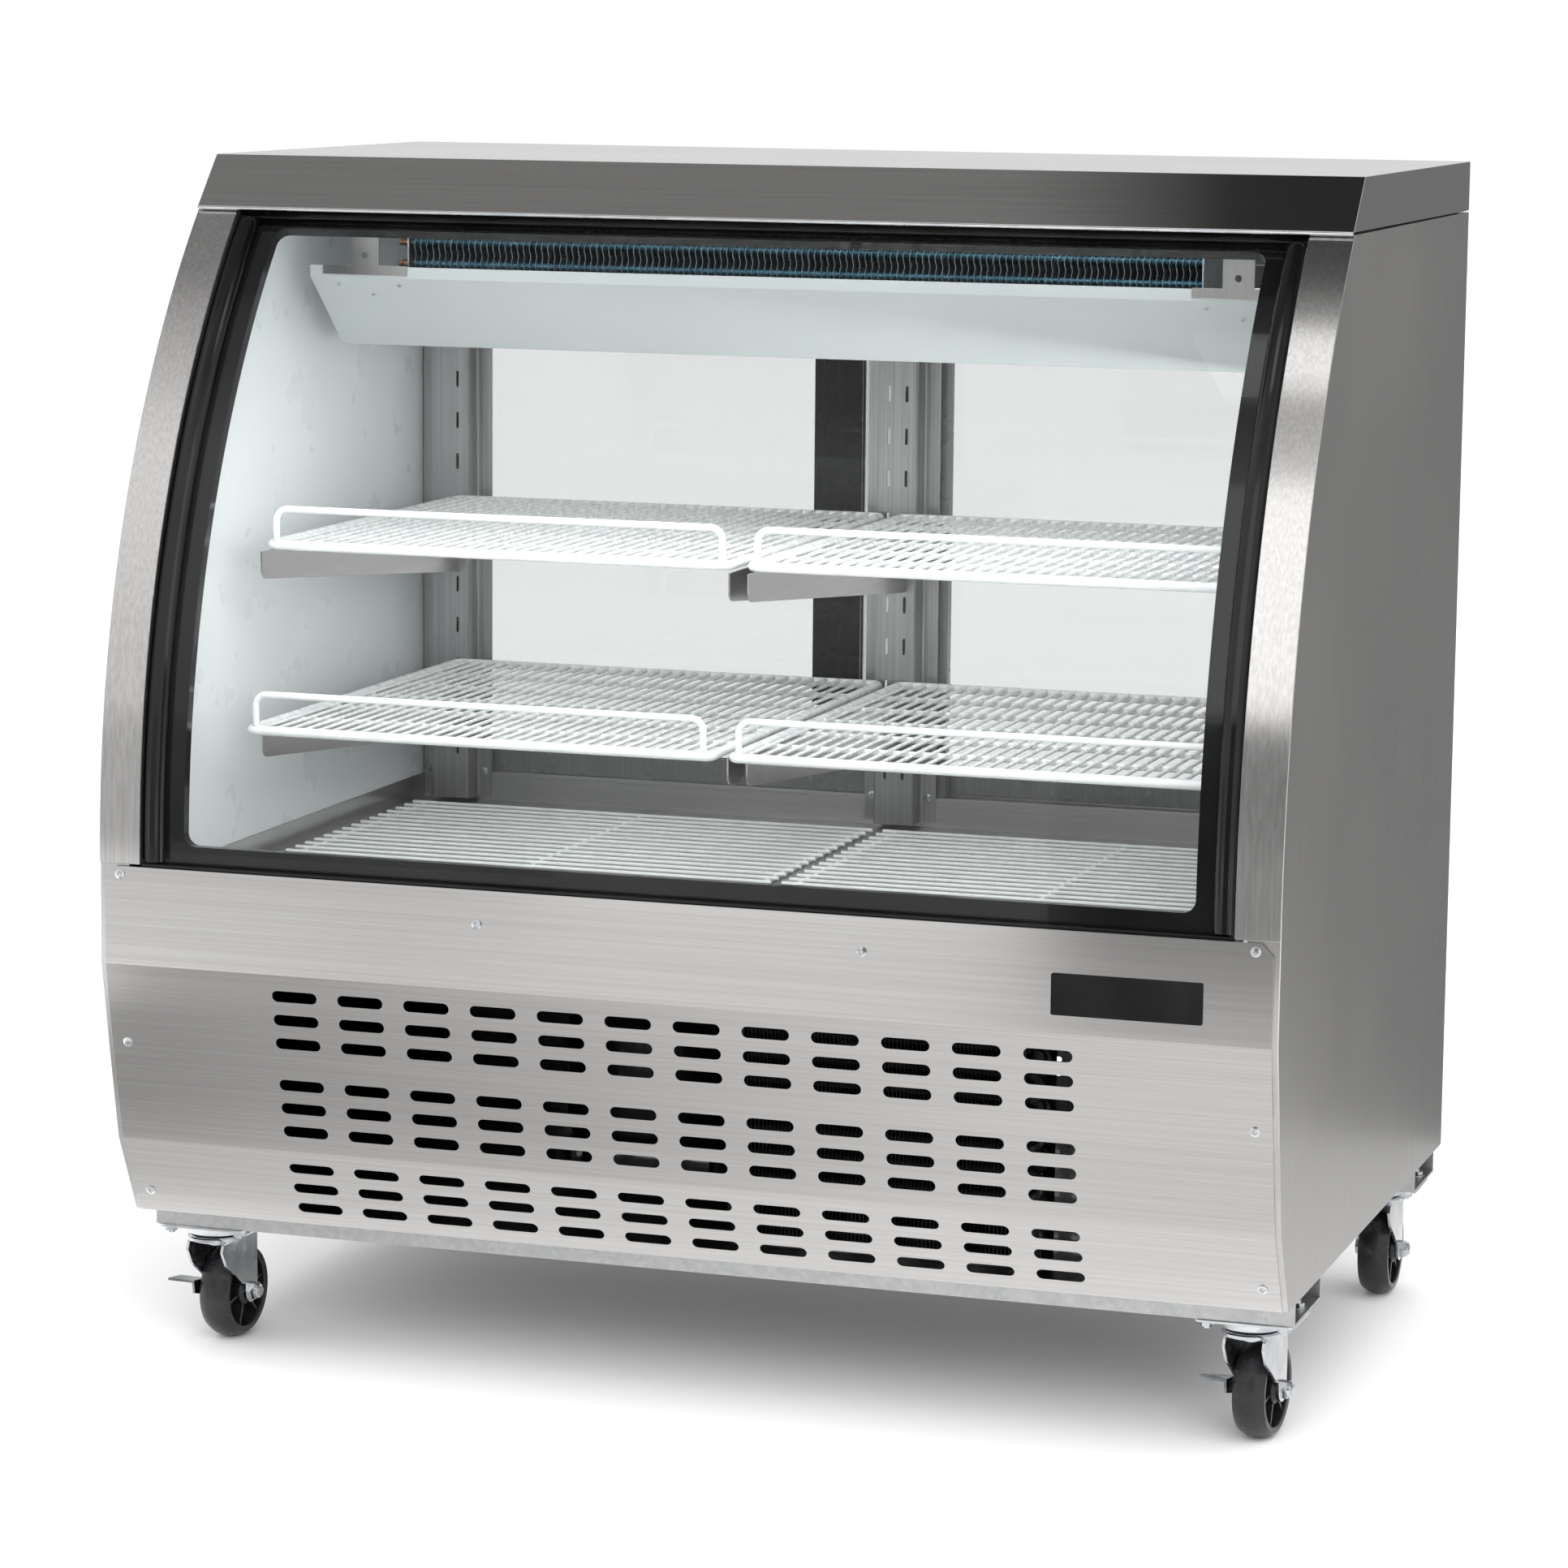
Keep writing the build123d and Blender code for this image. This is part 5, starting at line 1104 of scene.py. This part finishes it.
# base pan in black enamel: painted shade for the machine bay seen through the slots
refine("base_pan", "compressor_paint", bevel=0.0004)
refine("rear_panel", bevel=0.0003)
for node in ("controller", *(name for name in NODE_SLOT if name.startswith("button_")),
             "switch_housing", "light_switch", "power_inlet"):
    refine(node, bevel=0.0004)
refine("fan_shroud", bevel=0.0006)
refine("condenser_fan", bevel=0.0004)
refine("fan_motor", bevel=0.0008)


# ---------------------------------------------------------------- casters
PLACES = ("front_left", "front_right", "rear_left", "rear_right")
TRAIL = 0.036                        # from the swivel to the axle
AXLE_Z = 0.050
AXLE_R = 0.005
FORK_TOP = 0.117
FORK_FOOT = 0.014                    # of the fork below the axle
LEG_OUT = 0.0215
FORK_SHEET = 0.003
BRAKE_GAP = 0.0029                   # that a brake lever takes on the axle bolt
WHEEL_HALF = 0.0165
MOUNT_SHEET = 0.003
ZINC = ("zinc_plate", "zinc_plate")


def caster_frame(place):
    """Frame under the swivel axis: x along the axle, y the way the wheel trails."""
    swivel = Vector(JOINTS["swivel_" + place]["pos_m"])
    axle = Vector(JOINTS["wheel_spin_" + place]["axis"]).normalized()
    trail = Vector((0, 0, 1)).cross(axle)
    turned = Matrix((axle, trail, Vector((0, 0, 1)))).transposed().to_4x4()
    return Matrix.Translation((swivel.x, swivel.y, 0)) @ turned


def axle_frame(base, x):
    """Frame on the axle line at x, its z along the axle."""
    turned = Matrix(((0, 0, 1, x), (1, 0, 0, TRAIL), (0, 1, 0, AXLE_Z), (0, 0, 0, 1)))
    return base @ turned


def fork(place, base):
    """Pressed fork: one plate cut to shape and bent down at both sides, with its axle bolt."""
    half, foot_z = LEG_OUT, AXLE_Z - FORK_FOOT
    section = [(-half, foot_z), (-half, FORK_TOP), (half, FORK_TOP), (half, foot_z)]
    leg = FORK_TOP - foot_z
    total = 2 * leg + 2 * half
    near = [(TRAIL + 0.0125 * math.cos(math.radians(t)), FORK_FOOT + 0.0125 * math.sin(math.radians(t)))
            for t in steps(-170, -10, 12)]
    near += [(0.048, 0.020), (0.048, leg - 0.006), (0.040, leg + 0.010)]
    front = [(-0.027, leg - 0.014), (-0.018, leg - 0.030), (0.004, leg - 0.046), (0.016, leg - 0.056)]
    front += [(0.0225, 0.024)]
    far = [(u, total - s) for u, s in near[::-1]]
    nose = [(-0.018 - 0.016 * math.cos(t), total / 2 - 0.024 * math.sin(t))
            for t in steps(-math.pi / 2, math.pi / 2, 12)[1:]]
    nose = [(-0.027, total - leg + 0.014)] + nose[:-1]
    outline = near + far + [(u, total - s) for u, s in front[::-1]][:-1] + nose + front
    holes = [circle(AXLE_R, 16, (TRAIL, s)) for s in (FORK_FOOT, total - FORK_FOOT)]
    place_on = lambda u, a, b: base @ Vector((a, u, b))
    shape = folded_sheet(outline, holes, section, 0.007, -FORK_SHEET, place_on)
    crown = [(0.0185, -0.0052), (0.028, -0.0052), (0.030, -0.001), (0.0275, 0.0006), (0.0185, 0.0002)]
    shape.washer([(r, FORK_TOP + z) for r, z in crown], base, 40)
    head = -half - (BRAKE_GAP if place.startswith("front") else 0.0)
    axle = axle_frame(base, 0)
    shape.lathe([(AXLE_R - 0.0001, head - 0.003), (AXLE_R - 0.0001, half + 0.011)], axle, 20)
    for x, depth in ((head - 0.005, 0.005), (half, 0.006)):
        shape.prism(circle(0.0095, 6), axle_frame(base, x), depth)
    shape.lathe([(0.0078, half + 0.006), (0.0076, half + 0.0085), (0.0058, half + 0.0095)], axle, 24)
    shape.piece("fork_shell_" + place, *ZINC, "caster_" + place, ("fork_" + place,), bevel=0.0006, sharp=30)


def wheel(place, base):
    """Hard rounded tread, recessed faces with six spokes, and a stepped hub."""
    shape, axle, half = Shape(), axle_frame(base, 0), WHEEL_HALF
    shoulder = [(0.0465, -half + 0.0035), (0.0485, -half + 0.0075), (0.0497, -0.005), (0.05, 0.0)]
    tread = shoulder + [(r, -x) for r, x in shoulder[-2::-1]]
    section = [(0.0375, -half + 0.0015), (0.0385, -half + 0.0003), (0.0440, -half)] + tread
    section += [(0.0440, half), (0.0385, half - 0.0003), (0.0375, half - 0.0015)]
    section += [(0.0368, 0.003), (0.0368, -0.003)]
    shape.washer(section, axle, 72)
    end = LEG_OUT - 0.0035
    hub = [(0.0055, -end), (0.0125, -end), (0.0130, -half), (0.0155, -half + 0.002), (0.0160, -0.003)]
    shape.washer(hub + [(r, -x) for r, x in hub[::-1]], axle, 48)
    shape.washer(rectangle(0.0155, 0.0372, -0.0025, 0.0025), axle, 48)
    spoke = [(0.0150, -0.0018), (0.0378, -0.0013), (0.0378, 0.0013), (0.0150, 0.0018)]
    inset = flat_on(0.003 - half)
    for i in range(6):
        spin = Matrix.Rotation(math.radians(60 * i + 12), 4, "Z")
        shape.prism(spoke, axle @ spin @ inset, 2 * half - 0.006)
    name = "wheel_" + place
    shape.piece("wheel_tread_" + place, "caster_rubber", "caster_rubber", name, (name,),
                bevel=0.0005, sharp=35)


def caster_mounts():
    """Top plates with rounded corners, the ball race under each, and the plate bolts."""
    plates, bolts = Shape(), Shape()
    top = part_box("caster_plates")[1].z
    under = top - MOUNT_SHEET
    corners = [(-0.050, -0.040, 0), (0.050, -0.040, 0), (0.050, 0.040, 0), (-0.050, 0.040, 0)]
    outline = [(p.x, p.y) for p in rounded_path(corners, 0.010)]
    race = [(0.0062, 0.001), (0.026, 0.001), (0.0305, 0.0035), (0.0315, 0.008)]
    race = [(r, FORK_TOP + z) for r, z in race] + [(0.034, under), (0.0062, under)]
    stem = [(0.0055, -0.010), (0.006, -0.009), (0.006, 0.002)]
    stem_nut = [(0.008, -0.0125), (0.0100, -0.011), (0.0100, -0.0062)]
    for place in PLACES:
        swivel = Vector(JOINTS["swivel_" + place]["pos_m"])
        base = Matrix.Translation((swivel.x, swivel.y, 0))
        plates.prism(outline, base @ flat_on(under), MOUNT_SHEET)
        plates.washer(race, base, 48)
        for profile in (stem, stem_nut):
            plates.lathe(profile, base @ flat_on(FORK_TOP), 24)
        for dx in (-0.038, 0.038):
            for dy in (-0.028, 0.028):
                for z, way in ((under, -1), (top + 0.0025, 1)):
                    spot = base @ Matrix.Translation((dx, dy, z))
                    bolts.lathe([(0.0088, 0), (0.0088, way * 0.001)], spot, 24)
                    bolts.prism(circle(0.0072, 6), spot @ flat_on(way * 0.001), way * 0.0042)
                    bolts.lathe([(0.0038, 0), (0.0038, way * 0.0075)], spot, 16)
    plates.piece("caster_top_plates", *ZINC, replaces=("caster_plates",), bevel=0.0006, sharp=30)
    bolts.piece("caster_plate_bolts", *ZINC, replaces=("caster_bolts",), bevel=0.0004, sharp=30)


for place in PLACES:
    base = caster_frame(place)
    fork(place, base)
    wheel(place, base)
caster_mounts()
for side in ("left", "right"):
    refine("brake_front_" + side, "pedal_steel", bevel=0.0007)

# ---------------------------------------------------------------- finish for what stays as packed
for name, node in frame["nodes"].items():
    node.data.materials.clear()
    node.data.materials.append(LOOKS[NODE_SLOT[name]])
